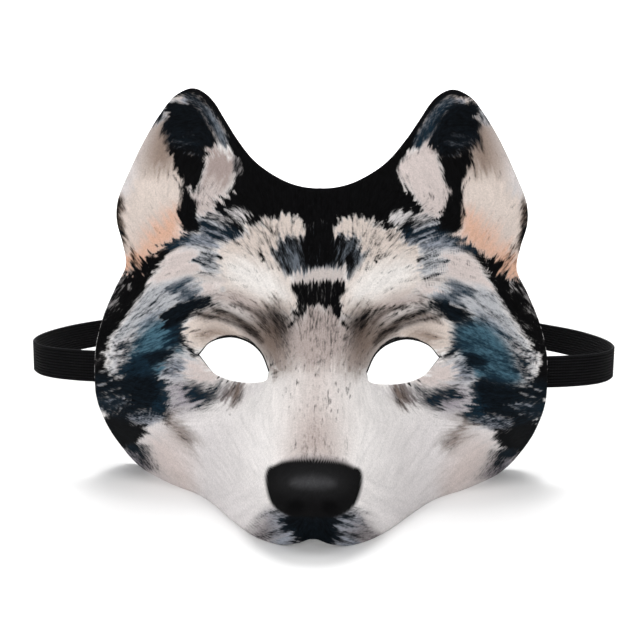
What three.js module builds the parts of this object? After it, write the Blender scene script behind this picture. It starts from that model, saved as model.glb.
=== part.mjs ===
import * as THREE from 'three';
import { mergeVertices } from 'three/addons/utils/BufferGeometryUtils.js';

// A husky face mask pressed from one sheet of foam, with a cloth back and an elastic head strap.
// Millimetres, +Z up. The face looks along -Y and its lower rim stands on the plane z = 0.

// Size of the face, seen from the front
const FACE_WIDTH = 210;
const FACE_HEIGHT = 180.2;

// Sheet thicknesses, and the clearance between pieces that touch
const FOAM = 2.6;
const LINING = 0.8;
const GAP = 0.3;

// Depth of the pressed form: the forehead's middle stands FACE_FORWARD before the side rims
const FACE_FORWARD = 29;
const SIDE_SWEEP = 30;
const UPRIGHT_LEVEL = 58;
const LEAN_RADIUS = 263;
const JAW_SWEEP = 21;
const JAW_INNER = 60;
const JAW_OUTER = 100;
const JAW_TOP = 43;

// The muzzle: how far it stands out, how wide it is, and where it starts below the forehead
const MUZZLE_REACH = 60;
const MUZZLE_HALF = 42.6;
const BRIDGE_HALF = 19;
const MUZZLE_TOP = 92;
const MUZZLE_FRONT = 20;
const EYE_LEVEL = 62;
const LIP_RECESS = 2.5;
const MUZZLE_SQUARENESS = 3.1;
const BRIDGE_SQUARENESS = 2.4;
const PROFILE_POWER = 1.3;

// The nose pad and the groove under it
const NOSE_WIDTH = 38;
const NOSE_HEIGHT = 21;
const NOSE_LEVEL = 24.5;
const NOSE_RISE = 3;
const NOSE_FLAT = 0.55;
const NOSE_FOOT = 1.35;
const GROOVE_DEPTH = 2;
const GROOVE_WIDTH = 4;

// Eye holes, with the pressed socket round each and the brow above it
const EYE_SPACING = 74;
const EYE_WIDTH = 32.4;
const EYE_HEIGHT = 20;
const SOCKET_DEPTH = 3;
const SOCKET_WIDTH = 42;
const SOCKET_HEIGHT = 26;
const SOCKET_TURN = -0.2;
const BROW_RISE = 2.5;
const BROW_LEVEL = 82;
const BROW_WIDTH = 39;
const BROW_HEIGHT = 16;
const BROW_TURN = -0.25;

// Dish of the ears
const EAR_DISH = 3;
const EAR_WIDTH = 28;
const EAR_LENGTH = 60;
const EAR_ACROSS = 67;
const EAR_LEVEL = 142;
const EAR_TURN = 0.12;

// Elastic strap: its section, the height of its middle and the length sewn on behind each cheek
const STRAP_WIDTH = 15;
const STRAP_THICKNESS = 1.2;
const STRAP_LEVEL = 52;
const STRAP_SEWN = 22;
const STRAP_CLEARANCE = 0.5;
const STRAP_SPAN = 293.5;
const STRAP_BACK = 136;

// Outline of one half from the notch in the lip, round the cheek and the ear, to the forehead.
// across is a share of half the face's width, up a share of its height.
const OUTLINE = [
  { across: 0.000, up: 0.017 },
  { across: 0.055, up: 0.008 },
  { across: 0.120, up: 0.000 },
  { across: 0.190, up: 0.000 },
  { across: 0.270, up: 0.000 },
  { across: 0.362, up: 0.000 },
  { across: 0.476, up: 0.000 },
  { across: 0.600, up: 0.000 },
  { across: 0.724, up: 0.000 },
  { across: 0.819, up: 0.002 },
  { across: 0.888, up: 0.019 },
  { across: 0.935, up: 0.051 },
  { across: 0.968, up: 0.094 },
  { across: 0.987, up: 0.150 },
  { across: 1.000, up: 0.228 },
  { across: 0.991, up: 0.339 },
  { across: 0.950, up: 0.422 },
  { across: 0.886, up: 0.501 },
  { across: 0.837, up: 0.558 },
  { across: 0.853, up: 0.609 },
  { across: 0.888, up: 0.671 },
  { across: 0.884, up: 0.723 },
  { across: 0.839, up: 0.788 },
  { across: 0.766, up: 0.877 },
  { across: 0.703, up: 0.937 },
  { across: 0.640, up: 0.982 },
  { across: 0.559, up: 1.000 },
  { across: 0.484, up: 0.978 },
  { across: 0.426, up: 0.932 },
  { across: 0.355, up: 0.873 },
  { across: 0.269, up: 0.815 },
  { across: 0.161, up: 0.774 },
  { across: 0.084, up: 0.758 },
  { across: 0.000, up: 0.753 },
];

// The row of the outline level with the eye's outer corner
const SIDE_ROW = 15;

// Eyelids in shares of half the eye's width and height: the upper lid runs from the outer
// corner to the inner one, and the lower lid runs back
const UPPER_LID = [
  { across: 1.00, up: 0.10 },
  { across: 0.61, up: 0.74 },
  { across: 0.04, up: 1.00 },
  { across: -0.46, up: 0.79 },
  { across: -0.77, up: 0.39 },
  { across: -1.00, up: -0.30 },
];
const LOWER_LID = [
  { across: -1.00, up: -0.30 },
  { across: -0.92, up: -0.70 },
  { across: -0.38, up: -0.97 },
  { across: 0.06, up: -0.96 },
  { across: 0.54, up: -0.70 },
  { across: 1.00, up: 0.10 },
];

// Plan of the strap's free stretch on one side, from beside the cheek to the middle of its back.
// across is a share of half the strap's span, back a share of its depth behind the side rims.
const STRAP_ROUTE = [
  { across: 0.777, back: 0.055 },
  { across: 0.863, back: 0.090 },
  { across: 0.928, back: 0.143 },
  { across: 0.977, back: 0.225 },
  { across: 1.000, back: 0.325 },
  { across: 1.000, back: 0.430 },
  { across: 0.982, back: 0.540 },
  { across: 0.946, back: 0.655 },
  { across: 0.884, back: 0.765 },
  { across: 0.790, back: 0.860 },
  { across: 0.655, back: 0.935 },
  { across: 0.473, back: 0.980 },
  { across: 0.240, back: 1.000 },
  { across: 0.000, back: 1.000 },
];

// Fineness of the sheet and of the strap
const STEPS_PER_ROW = 2;
const MIDLINE_UPPER_STEPS = 8;
const MIDLINE_LOWER_STEPS = 12;
const RINGS = [0, 0.06, 0.17, 0.32, 0.49, 0.66, 0.83, 1];
const STRAP_STEPS = 64;

// The small step over which a slope is measured, and the distance within which points are one
const STEP = 0.05;
const MERGE = 1e-3;

const HALF_WIDTH = FACE_WIDTH / 2;
const EYE_ACROSS = EYE_SPACING / 2;

// Rises smoothly from 0 at low to 1 at high
function ramp(low, high, value) {
  const t = Math.min(Math.max((value - low) / (high - low), 0), 1);
  return t * t * (3 - 2 * t);
}

// A soft round mound of height 1 with its middle at (across, up), turned by an angle
function mound(x, z, across, up, width, height, turn) {
  const dx = x - across;
  const dz = z - up;
  const u = (Math.cos(turn) * dx + Math.sin(turn) * dz) / (width / 2);
  const v = (Math.cos(turn) * dz - Math.sin(turn) * dx) / (height / 2);
  return Math.exp(-u * u - v * v);
}

// The large form: a face that wraps round the head and leans back, with the lower cheeks swept back
function faceDepth(x, z) {
  const lean = (z - UPRIGHT_LEVEL) ** 2 / (2 * LEAN_RADIUS);
  const wrap = SIDE_SWEEP * (x / HALF_WIDTH) ** 2;
  const jaw = JAW_SWEEP * ramp(JAW_INNER, JAW_OUTER, x) * (1 - ramp(0, JAW_TOP, z));
  return lean + wrap + jaw - FACE_FORWARD;
}

// How far the muzzle stands out, narrow between the eyes and broad at the lips
function muzzleDepth(x, z) {
  const narrowing = ramp(0, EYE_LEVEL, z);
  const half = MUZZLE_HALF + (BRIDGE_HALF - MUZZLE_HALF) * narrowing;
  const squareness = MUZZLE_SQUARENESS + (BRIDGE_SQUARENESS - MUZZLE_SQUARENESS) * narrowing;
  const rise = ramp(0, 1, (MUZZLE_TOP - z) / (MUZZLE_TOP - MUZZLE_FRONT)) ** PROFILE_POWER;
  const lip = Math.max(MUZZLE_FRONT - z, 0) / MUZZLE_FRONT;
  return (MUZZLE_REACH * rise - LIP_RECESS * lip * lip) * Math.exp(-((x / half) ** squareness));
}

// The nose pad, a rounded plateau, less the groove that parts the lips under it
function noseRelief(x, z) {
  const across = Math.abs(x) / (NOSE_WIDTH / 2);
  const up = Math.abs(z - NOSE_LEVEL) / (NOSE_HEIGHT / 2);
  const reach = Math.cbrt(across ** 3 + up ** 3);
  const groove = GROOVE_DEPTH * Math.exp(-((x / GROOVE_WIDTH) ** 2)) * (1 - ramp(0, NOSE_LEVEL, z));
  return NOSE_RISE * (1 - ramp(NOSE_FLAT, NOSE_FOOT, reach)) - groove;
}

// Low relief round the eyes and in the ears, positive where the sheet is pressed back
function hollows(x, z) {
  const socket = mound(x, z, EYE_ACROSS, EYE_LEVEL, SOCKET_WIDTH, SOCKET_HEIGHT, SOCKET_TURN);
  const brow = mound(x, z, EYE_ACROSS, BROW_LEVEL, BROW_WIDTH, BROW_HEIGHT, BROW_TURN);
  const ear = mound(x, z, EAR_ACROSS, EAR_LEVEL, EAR_WIDTH, EAR_LENGTH, EAR_TURN);
  return SOCKET_DEPTH * socket - BROW_RISE * brow + EAR_DISH * ear;
}

// The front face of the mask, as y at a place across and up
function frontDepth(x, z) {
  const ax = Math.abs(x);
  return faceDepth(ax, z) - muzzleDepth(ax, z) - noseRelief(ax, z) + hollows(ax, z);
}

// A point of the sheet at a depth below its front face, measured square to the surface.
// Where the rim stands on the ground the sheet is cut level.
function sheetPoint(x, z, depth) {
  const slopeX = (frontDepth(x + STEP, z) - frontDepth(x - STEP, z)) / (2 * STEP);
  const slopeZ = (frontDepth(x, z + STEP) - frontDepth(x, z - STEP)) / (2 * STEP);
  const normal = new THREE.Vector3(-slopeX, 1, -slopeZ).normalize();
  if (z === 0) {
    const level = Math.hypot(normal.x, normal.y);
    normal.set(normal.x / level ** 2, normal.y / level ** 2, 0);
  }
  return new THREE.Vector3(x, frontDepth(x, z), z).addScaledVector(normal, depth);
}

// Points along a smooth curve through the rows of a table, from one row to another
function smoothRun(points, steps, firstRow, lastRow) {
  const curve = new THREE.CatmullRomCurve3(points, false, 'centripetal');
  const run = [];
  for (let i = firstRow * steps; i <= lastRow * steps; i += 1) {
    run.push(curve.getPoint(i / (steps * (points.length - 1))));
  }
  return run;
}

// The outline of one half, mirrored past both its ends so that it crosses the middle square
function outlineRun() {
  const row = ({ across, up }) => new THREE.Vector3(across * HALF_WIDTH, 0, up * FACE_HEIGHT);
  const points = OUTLINE.map(row);
  const mirrored = (point) => new THREE.Vector3(-point.x, 0, point.z);
  const padded = [mirrored(points[1]), ...points, mirrored(points[points.length - 2])];
  const run = smoothRun(padded, STEPS_PER_ROW, 1, points.length);
  run.forEach((point) => { point.z = Math.max(point.z, 0); });
  run[0].x = 0;
  run[run.length - 1].x = 0;
  return run;
}

// Points down the face's middle between two heights
function midlineRun(top, bottom, steps) {
  const run = [];
  for (let i = 0; i <= steps; i += 1) {
    run.push(new THREE.Vector3(0, 0, top + (bottom - top) * (i / steps)));
  }
  return run;
}

// The share of a run's length at each of its points
function shares(run) {
  const lengths = [0];
  for (let i = 1; i < run.length; i += 1) {
    lengths.push(lengths[i - 1] + run[i].distanceTo(run[i - 1]));
  }
  return lengths.map((length) => length / lengths[lengths.length - 1]);
}

// One eyelid's points at given shares of its length
function lidPoints(table, at) {
  const points = table.map(({ across, up }) => new THREE.Vector3(
    EYE_ACROSS + (across * EYE_WIDTH) / 2, 0, EYE_LEVEL + (up * EYE_HEIGHT) / 2));
  const curve = new THREE.CatmullRomCurve3(points, false, 'centripetal');
  return at.map((share) => curve.getPointAt(share));
}

// One half of the face as rings round its eye hole: each column runs from a point of the
// eyelid to the point of the outline or the midline that lies at the same share of its run
function faceColumns() {
  const outline = outlineRun();
  const side = SIDE_ROW * STEPS_PER_ROW;
  const top = outline[outline.length - 1].z;
  const notch = outline[0].z;
  const innerCorner = EYE_LEVEL + (UPPER_LID[UPPER_LID.length - 1].up * EYE_HEIGHT) / 2;
  const upper = [...outline.slice(side), ...midlineRun(top, innerCorner, MIDLINE_UPPER_STEPS).slice(1)];
  const lower = [...midlineRun(innerCorner, notch, MIDLINE_LOWER_STEPS), ...outline.slice(1, side + 1)];
  const upperLid = lidPoints(UPPER_LID, shares(upper));
  const lowerLid = lidPoints(LOWER_LID, shares(lower));
  const outer = [...upper, ...lower.slice(1, -1)];
  const inner = [...upperLid, ...lowerLid.slice(1, -1)];
  return outer.map((rim, i) => RINGS.map((share) => {
    const place = inner[i].clone().lerp(rim, share);
    place.y = frontDepth(place.x, place.z);
    return place;
  }));
}

// A closed sheet that follows the face between two depths below its front. Each four-sided
// cell is split along its shorter diagonal, the same way on both faces.
function faceSheet(frontFace, backFace) {
  const columns = faceColumns();
  const rings = RINGS.length;
  const positions = [];
  const index = [];
  for (const side of [1, -1]) {
    const start = positions.length / 3;
    const vertex = (face, column, ring) => start + (face * columns.length + column) * rings + ring;
    const triangle = (a, b, c) => index.push(...(side > 0 ? [a, b, c] : [a, c, b]));
    const quad = (a, b, c, d) => {
      triangle(a, b, c);
      triangle(a, c, d);
    };
    for (const depth of [frontFace, backFace]) {
      for (const column of columns) {
        for (const place of column) {
          const point = sheetPoint(place.x, place.z, depth);
          positions.push(side * point.x, point.y, point.z);
        }
      }
    }
    columns.forEach((column, i) => {
      const next = (i + 1) % columns.length;
      for (let ring = 0; ring < rings - 1; ring += 1) {
        const corners = [[i, ring], [i, ring + 1], [next, ring + 1], [next, ring]];
        const place = ([at, away]) => columns[at][away];
        const first = place(corners[0]).distanceTo(place(corners[2]));
        const second = place(corners[1]).distanceTo(place(corners[3]));
        if (second < first) corners.push(corners.shift());
        const [a, b, c, d] = corners;
        quad(vertex(0, ...a), vertex(0, ...b), vertex(0, ...c), vertex(0, ...d));
        quad(vertex(1, ...a), vertex(1, ...d), vertex(1, ...c), vertex(1, ...b));
      }
      quad(vertex(0, i, 0), vertex(0, next, 0), vertex(1, next, 0), vertex(1, i, 0));
      const onMiddle = column[rings - 1].x === 0 && columns[next][rings - 1].x === 0;
      if (!onMiddle) {
        const rim = rings - 1;
        quad(vertex(0, i, rim), vertex(1, i, rim), vertex(1, next, rim), vertex(0, next, rim));
      }
    });
  }
  return closedGeometry(positions, index);
}

function closedGeometry(positions, index) {
  const geometry = new THREE.BufferGeometry();
  geometry.setAttribute('position', new THREE.Float32BufferAttribute(positions, 3));
  geometry.setIndex(index);
  return mergeVertices(geometry, MERGE);
}

// One edge of the strap in plan: sewn flat behind one cheek, round the head and to the other cheek
function strapEdge(level) {
  const behind = FOAM + GAP + LINING + STRAP_CLEARANCE;
  const rim = HALF_WIDTH;
  const sewn = [rim - STRAP_SEWN, rim - STRAP_SEWN / 2, rim].map((x) => {
    const point = sheetPoint(x, level, behind);
    return new THREE.Vector3(point.x, point.y, level);
  });
  const free = STRAP_ROUTE.map(({ across, back }) => new THREE.Vector3(
    (across * STRAP_SPAN) / 2, back * STRAP_BACK, level));
  const half = [...sewn, ...free];
  const other = half.slice(0, -1).reverse().map((point) => new THREE.Vector3(-point.x, point.y, point.z));
  return new THREE.CatmullRomCurve3([...half, ...other], false, 'centripetal');
}

// The strap: a flat band on edge, with its thickness on the side of the head
function strapBand() {
  const edges = [STRAP_LEVEL + STRAP_WIDTH / 2, STRAP_LEVEL - STRAP_WIDTH / 2].map(strapEdge);
  const positions = [];
  const index = [];
  for (let i = 0; i <= STRAP_STEPS; i += 1) {
    for (const edge of edges) {
      const outside = edge.getPointAt(i / STRAP_STEPS);
      const along = edge.getTangentAt(i / STRAP_STEPS);
      const inward = new THREE.Vector3(-along.y, along.x, 0).setLength(STRAP_THICKNESS);
      positions.push(...outside.toArray(), ...outside.clone().add(inward).toArray());
    }
    if (i < STRAP_STEPS) {
      const corner = [0, 2, 3, 1].map((k) => 4 * i + k);
      corner.forEach((a, k) => {
        const b = corner[(k + 1) % 4];
        index.push(a, b, b + 4, a, b + 4, a + 4);
      });
    }
  }
  const last = 4 * STRAP_STEPS;
  index.push(0, 1, 3, 0, 3, 2, last, last + 2, last + 3, last, last + 3, last + 1);
  return closedGeometry(positions, index);
}

const printedCloth = new THREE.MeshStandardMaterial({ color: 0xb9b2ae, roughness: 0.9, metalness: 0 });
const blackCloth = new THREE.MeshStandardMaterial({ color: 0x0d0d10, roughness: 0.95, metalness: 0 });
const blackElastic = new THREE.MeshStandardMaterial({ color: 0x0a0a0b, roughness: 0.8, metalness: 0 });

function piece(name, geometry, material) {
  const mesh = new THREE.Mesh(geometry, material);
  mesh.name = name;
  return mesh;
}

const mask = new THREE.Group();
mask.add(piece('mask_shell', faceSheet(0, FOAM), printedCloth));
mask.add(piece('back_lining', faceSheet(FOAM + GAP, FOAM + GAP + LINING), blackCloth));
mask.add(piece('elastic_strap', strapBand(), blackElastic));

// The origin is on the ground under the middle of the whole object
const box = new THREE.Box3().setFromObject(mask);
mask.position.y = -(box.min.y + box.max.y) / 2;

export default mask;
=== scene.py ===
"""A husky face mask pressed from printed foam, with a cloth back and an elastic head strap."""

import bpy
import numpy as np
from mathutils import Matrix, Vector


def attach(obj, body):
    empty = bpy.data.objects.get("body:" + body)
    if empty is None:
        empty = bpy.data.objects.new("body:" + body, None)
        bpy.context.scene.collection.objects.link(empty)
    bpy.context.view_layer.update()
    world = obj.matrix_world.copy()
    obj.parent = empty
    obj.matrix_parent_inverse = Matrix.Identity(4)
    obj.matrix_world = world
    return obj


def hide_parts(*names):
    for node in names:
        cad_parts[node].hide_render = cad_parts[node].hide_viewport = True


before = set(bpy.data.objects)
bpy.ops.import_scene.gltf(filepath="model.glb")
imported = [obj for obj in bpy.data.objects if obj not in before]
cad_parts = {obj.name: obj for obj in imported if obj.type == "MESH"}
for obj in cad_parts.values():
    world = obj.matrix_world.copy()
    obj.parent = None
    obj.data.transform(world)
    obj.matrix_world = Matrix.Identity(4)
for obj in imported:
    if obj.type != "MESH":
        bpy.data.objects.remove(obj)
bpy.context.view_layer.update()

# The camera looks slightly down at the mask from in front, a hair to its right and with a
# slight roll. Its place is in millimetres, like the mask's own sizes. The picture is square.
MM = 0.001
PICTURE = 640.0
SENSOR = 36.0
FOCAL_POINTS = 900.0
NEAREST_SHOWN = 0.01
CAMERA_DOWN = np.radians(8.2)
CAMERA_YAW = np.radians(1.4)
CAMERA_ROLL = np.radians(0.45)
CAMERA_AWAY = 407.0
CAMERA_LEVEL = 134.7
# The zero of the face's own curves lies this far ahead of the part's middle.
FACE_AHEAD = 23.447

camera_place = np.array([
    np.sin(CAMERA_YAW) * CAMERA_AWAY,
    -np.cos(CAMERA_YAW) * CAMERA_AWAY - FACE_AHEAD,
    CAMERA_LEVEL,
])
looking = np.array([
    -np.sin(CAMERA_YAW) * np.cos(CAMERA_DOWN),
    np.cos(CAMERA_YAW) * np.cos(CAMERA_DOWN),
    -np.sin(CAMERA_DOWN),
])
level_right = np.array([np.cos(CAMERA_YAW), np.sin(CAMERA_YAW), 0.0])
level_up = np.cross(level_right, looking)
picture_right = np.cos(CAMERA_ROLL) * level_right + np.sin(CAMERA_ROLL) * level_up
picture_up = np.cos(CAMERA_ROLL) * level_up - np.sin(CAMERA_ROLL) * level_right

camera_data = bpy.data.cameras.new("camera")
camera_data.sensor_width = SENSOR
camera_data.lens = FOCAL_POINTS / PICTURE * SENSOR
camera_data.clip_start = NEAREST_SHOWN
camera = bpy.data.objects.new("camera", camera_data)
turn = Matrix([list(row) for row in np.column_stack([picture_right, picture_up, -looking])])
camera.matrix_world = Matrix.Translation(camera_place * MM) @ turn.to_4x4()
bpy.context.scene.collection.objects.link(camera)
bpy.context.scene.camera = camera


# The face: printed cloth laminated on black foam and pressed over a mould. These sizes and
# curves are the mask's own, as in the CAD part: the foam's front stands at a depth y that is
# a function of x across and z up.
FACE_WIDTH = 210.0
FACE_HEIGHT = 180.2
HALF_WIDTH = FACE_WIDTH / 2
FOAM = 2.6
LINING = 0.8
GAP = 0.3
CLOTH = 0.4

OUTLINE = np.array([
    (0.000, 0.017), (0.055, 0.008), (0.120, 0.000), (0.190, 0.000), (0.270, 0.000),
    (0.362, 0.000), (0.476, 0.000), (0.600, 0.000), (0.724, 0.000), (0.819, 0.002),
    (0.888, 0.019), (0.935, 0.051), (0.968, 0.094), (0.987, 0.150), (1.000, 0.228),
    (0.991, 0.339), (0.950, 0.422), (0.886, 0.501), (0.837, 0.558), (0.853, 0.609),
    (0.888, 0.671), (0.884, 0.723), (0.839, 0.788), (0.766, 0.877), (0.703, 0.937),
    (0.640, 0.982), (0.559, 1.000), (0.484, 0.978), (0.426, 0.932), (0.355, 0.873),
    (0.269, 0.815), (0.161, 0.774), (0.084, 0.758), (0.000, 0.753),
]) * [HALF_WIDTH, FACE_HEIGHT]
SIDE_ROW = 15
OUTLINE_STEPS = 24
ON_GROUND = 0.02

EYE_SPACING = 74.0
EYE_ACROSS = EYE_SPACING / 2
EYE_LEVEL = 62.0
HALF_EYE = np.array([32.4, 20.0]) / 2
UPPER_LID = np.array([
    (1.00, 0.10), (0.61, 0.74), (0.04, 1.00), (-0.46, 0.79), (-0.77, 0.39), (-1.00, -0.30),
]) * HALF_EYE + [EYE_ACROSS, EYE_LEVEL]
LOWER_LID = np.array([
    (-1.00, -0.30), (-0.92, -0.70), (-0.38, -0.97), (0.06, -0.96), (0.54, -0.70), (1.00, 0.10),
]) * HALF_EYE + [EYE_ACROSS, EYE_LEVEL]
LID_STEPS = 60

FACE_FORWARD, UPRIGHT_LEVEL, LEAN_RADIUS, SIDE_SWEEP = 29.0, 58.0, 263.0, 30.0
JAW_SWEEP, JAW_INNER, JAW_OUTER, JAW_TOP = 21.0, 60.0, 100.0, 43.0
MUZZLE_REACH, MUZZLE_TOP, MUZZLE_FRONT, LIP_RECESS = 60.0, 92.0, 20.0, 2.5
MUZZLE_HALF, BRIDGE_HALF = 42.6, 19.0
MUZZLE_SQUARENESS, BRIDGE_SQUARENESS, PROFILE_POWER = 3.1, 2.4, 1.3
HALF_NOSE, HALF_NOSE_HEIGHT, NOSE_LEVEL = 19.0, 10.5, 24.5
NOSE_RISE, NOSE_FLAT, NOSE_FOOT = 3.0, 0.55, 1.35
GROOVE_DEPTH, GROOVE_WIDTH = 2.0, 4.0
# Eye socket, brow ridge and dish of the ear: how far back each goes, and then where it is
# across and up, its width, height and turn.
MOUNDS = [
    (3.0, EYE_ACROSS, EYE_LEVEL, 42.0, 26.0, -0.2),
    (-2.5, EYE_ACROSS, 82.0, 39.0, 16.0, -0.25),
    (3.0, 67.0, 142.0, 28.0, 60.0, 0.12),
]
SLOPE_STEP = 0.05
SHARP_ANGLE = np.radians(40)


def ramp(low, high, value):
    """Rises smoothly from 0 at low to 1 at high, as 3t^2 - 2t^3."""
    t = np.clip((value - low) / (high - low), 0.0, 1.0)
    return t * t * (3.0 - 2.0 * t)


def unit(vectors):
    """Vectors divided by their length."""
    return vectors / np.linalg.norm(vectors, axis=-1, keepdims=True)


def mound(x, z, across, up, width, height, tilt):
    """A bell exp(-u^2 - v^2) with its middle at (across, up), u and v turned by tilt."""
    dx, dz = x - across, z - up
    u = (np.cos(tilt) * dx + np.sin(tilt) * dz) / (width / 2)
    v = (np.cos(tilt) * dz - np.sin(tilt) * dx) / (height / 2)
    return np.exp(-u * u - v * v)


def front_depth(x, z):
    """y of the front: lean and wrap as parabolas, cheeks swept back, less the muzzle and nose,
    with the mounds on top."""
    x = np.abs(x)
    lean = (z - UPRIGHT_LEVEL) ** 2 / (2 * LEAN_RADIUS)
    wrap = SIDE_SWEEP * (x / HALF_WIDTH) ** 2
    jaw = JAW_SWEEP * ramp(JAW_INNER, JAW_OUTER, x) * (1 - ramp(0.0, JAW_TOP, z))
    narrowing = ramp(0.0, EYE_LEVEL, z)
    half = MUZZLE_HALF + (BRIDGE_HALF - MUZZLE_HALF) * narrowing
    squareness = MUZZLE_SQUARENESS + (BRIDGE_SQUARENESS - MUZZLE_SQUARENESS) * narrowing
    rise = ramp(0.0, 1.0, (MUZZLE_TOP - z) / (MUZZLE_TOP - MUZZLE_FRONT)) ** PROFILE_POWER
    lip = np.maximum(MUZZLE_FRONT - z, 0.0) / MUZZLE_FRONT
    muzzle = (MUZZLE_REACH * rise - LIP_RECESS * lip * lip) * np.exp(-((x / half) ** squareness))
    reach = np.cbrt((x / HALF_NOSE) ** 3 + (np.abs(z - NOSE_LEVEL) / HALF_NOSE_HEIGHT) ** 3)
    groove = GROOVE_DEPTH * np.exp(-((x / GROOVE_WIDTH) ** 2)) * (1 - ramp(0.0, NOSE_LEVEL, z))
    nose = NOSE_RISE * (1 - ramp(NOSE_FLAT, NOSE_FOOT, reach)) - groove
    depth = lean + wrap + jaw - FACE_FORWARD - muzzle - nose
    for back, *place in MOUNDS:
        depth = depth + back * mound(x, z, *place)
    return depth


def sheet_point(x, z, depth):
    """The point depth below the front, along the normal (-dy/dx, 1, -dy/dz) of unit length.
    On the ground the way goes level, so that the rim is cut level there."""
    slope_x, slope_z = ((front_depth(x + dx, z + dz) - front_depth(x - dx, z - dz)) / (2 * SLOPE_STEP)
                        for dx, dz in ((SLOPE_STEP, 0), (0, SLOPE_STEP)))
    normal = unit(np.stack([-slope_x, np.ones_like(x), -slope_z], axis=-1))
    level = normal * [1.0, 1.0, 0.0]
    level /= (level ** 2).sum(axis=-1, keepdims=True)
    normal = np.where((z == 0)[..., None], level, normal)
    return np.stack([x, front_depth(x, z), z], axis=-1) + normal * np.asarray(depth)[..., None]


def smooth_run(rows, steps):
    """A centripetal Catmull-Rom curve: between two rows a cubic whose end slopes come from
    the four rows around, with gaps in time that go as the square root of their distance."""
    rows = np.asarray(rows, dtype=float)
    rows = np.vstack([2 * rows[0] - rows[1], rows, 2 * rows[-1] - rows[-2]])
    moves = np.diff(rows, axis=0)
    gaps = np.sqrt(np.linalg.norm(moves, axis=1))[:, None]
    both = (moves[:-1] + moves[1:]) / (gaps[:-1] + gaps[1:])
    speed = moves[:-1] / gaps[:-1] - both + moves[1:] / gaps[1:]
    first = (speed[:-1] * gaps[1:-1])[:, None]
    second = (speed[1:] * gaps[1:-1])[:, None]
    t = (np.arange(steps) / steps)[None, :, None]
    run = (
        (2 * t**3 - 3 * t**2 + 1) * rows[1:-2, None] + (t**3 - 2 * t**2 + t) * first
        + (3 * t**2 - 2 * t**3) * rows[2:-1, None] + (t**3 - t**2) * second
    )
    return np.vstack([run.reshape(-1, rows.shape[1]), rows[-2]])


def lengths_along(run):
    """Length of a run up to each of its points, as the running sum of its sides."""
    return np.append(0.0, np.cumsum(np.linalg.norm(np.diff(run, axis=0), axis=1)))


def along(run, shares):
    """Points of a run at shares of its length, straight between its points."""
    lengths = lengths_along(run)
    at = np.asarray(shares) * lengths[-1]
    return np.stack([np.interp(at, lengths, column) for column in run.T], axis=1)


def half_face(columns, rings, hole_shift):
    """x and z of one half as a grid of columns and rings: (1 - r) lid + r rim, where lid and
    rim are the points of eyelid and outline at the same share of their runs."""
    padded = np.vstack([OUTLINE[1] * [-1, 1], OUTLINE, OUTLINE[-2] * [-1, 1]])
    outline = smooth_run(padded, OUTLINE_STEPS)[OUTLINE_STEPS:-OUTLINE_STEPS]
    outline[:, 1] = np.maximum(outline[:, 1], 0.0)
    outline[[0, -1], 0] = 0.0
    side = SIDE_ROW * OUTLINE_STEPS
    crown, notch = outline[-1], outline[0]
    corner = UPPER_LID[-1] * [0, 1]
    parts = outline[side:], np.array([crown, corner]), np.array([corner, notch]), outline[:side + 1]
    runs = [along(part, np.linspace(0, 1, count + 1)) for part, count in zip(parts, columns)]
    runs[3][runs[3][:, 1] < ON_GROUND, 1] = 0.0
    upper = np.vstack([runs[0], runs[1][1:]])
    lower = np.vstack([runs[2], runs[3][1:]])
    lids = []
    for table, run in ((UPPER_LID, upper), (LOWER_LID, lower)):
        lengths = lengths_along(run)
        lids.append(along(smooth_run(table, LID_STEPS), lengths / lengths[-1]))
    outer = np.vstack([upper, lower[1:-1]])
    inner = np.vstack([lids[0], lids[1][1:-1]]) + hole_shift
    r = rings[None, :, None]
    grid = inner[:, None] * (1 - r) + outer[:, None] * r
    grid[..., 1] = np.where(r[..., 0] == 1, outer[:, None, 1], grid[..., 1])
    return grid[..., 0], grid[..., 1]


def build_mesh(name, places, faces):
    """A mesh in metres from millimetre places of the face's own frame, doubles merged."""
    same = np.round(places, 4)
    _, first, back = np.unique(same, axis=0, return_index=True, return_inverse=True)
    places = places[first] + [0.0, -FACE_AHEAD, 0.0]
    faces = back.reshape(-1)[faces]
    mesh = bpy.data.meshes.new(name)
    mesh.vertices.add(len(places))
    mesh.vertices.foreach_set("co", (places * MM).ravel())
    mesh.loops.add(faces.size)
    mesh.loops.foreach_set("vertex_index", faces.ravel().astype(np.int32))
    mesh.polygons.add(len(faces))
    mesh.polygons.foreach_set("loop_start", np.arange(0, faces.size, faces.shape[1], dtype=np.int32))
    mesh.update(calc_edges=True)
    mesh.validate()
    mesh.shade_smooth()
    mesh.set_sharp_from_angle(angle=SHARP_ANGLE)
    piece = bpy.data.objects.new(name, mesh)
    bpy.context.scene.collection.objects.link(piece)
    return piece, places


# Near its edges the front of the cloth falls away, within this distance and by this much.
EASE_WIDTH = 1.5
EDGE_EASE = 0.35


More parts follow.
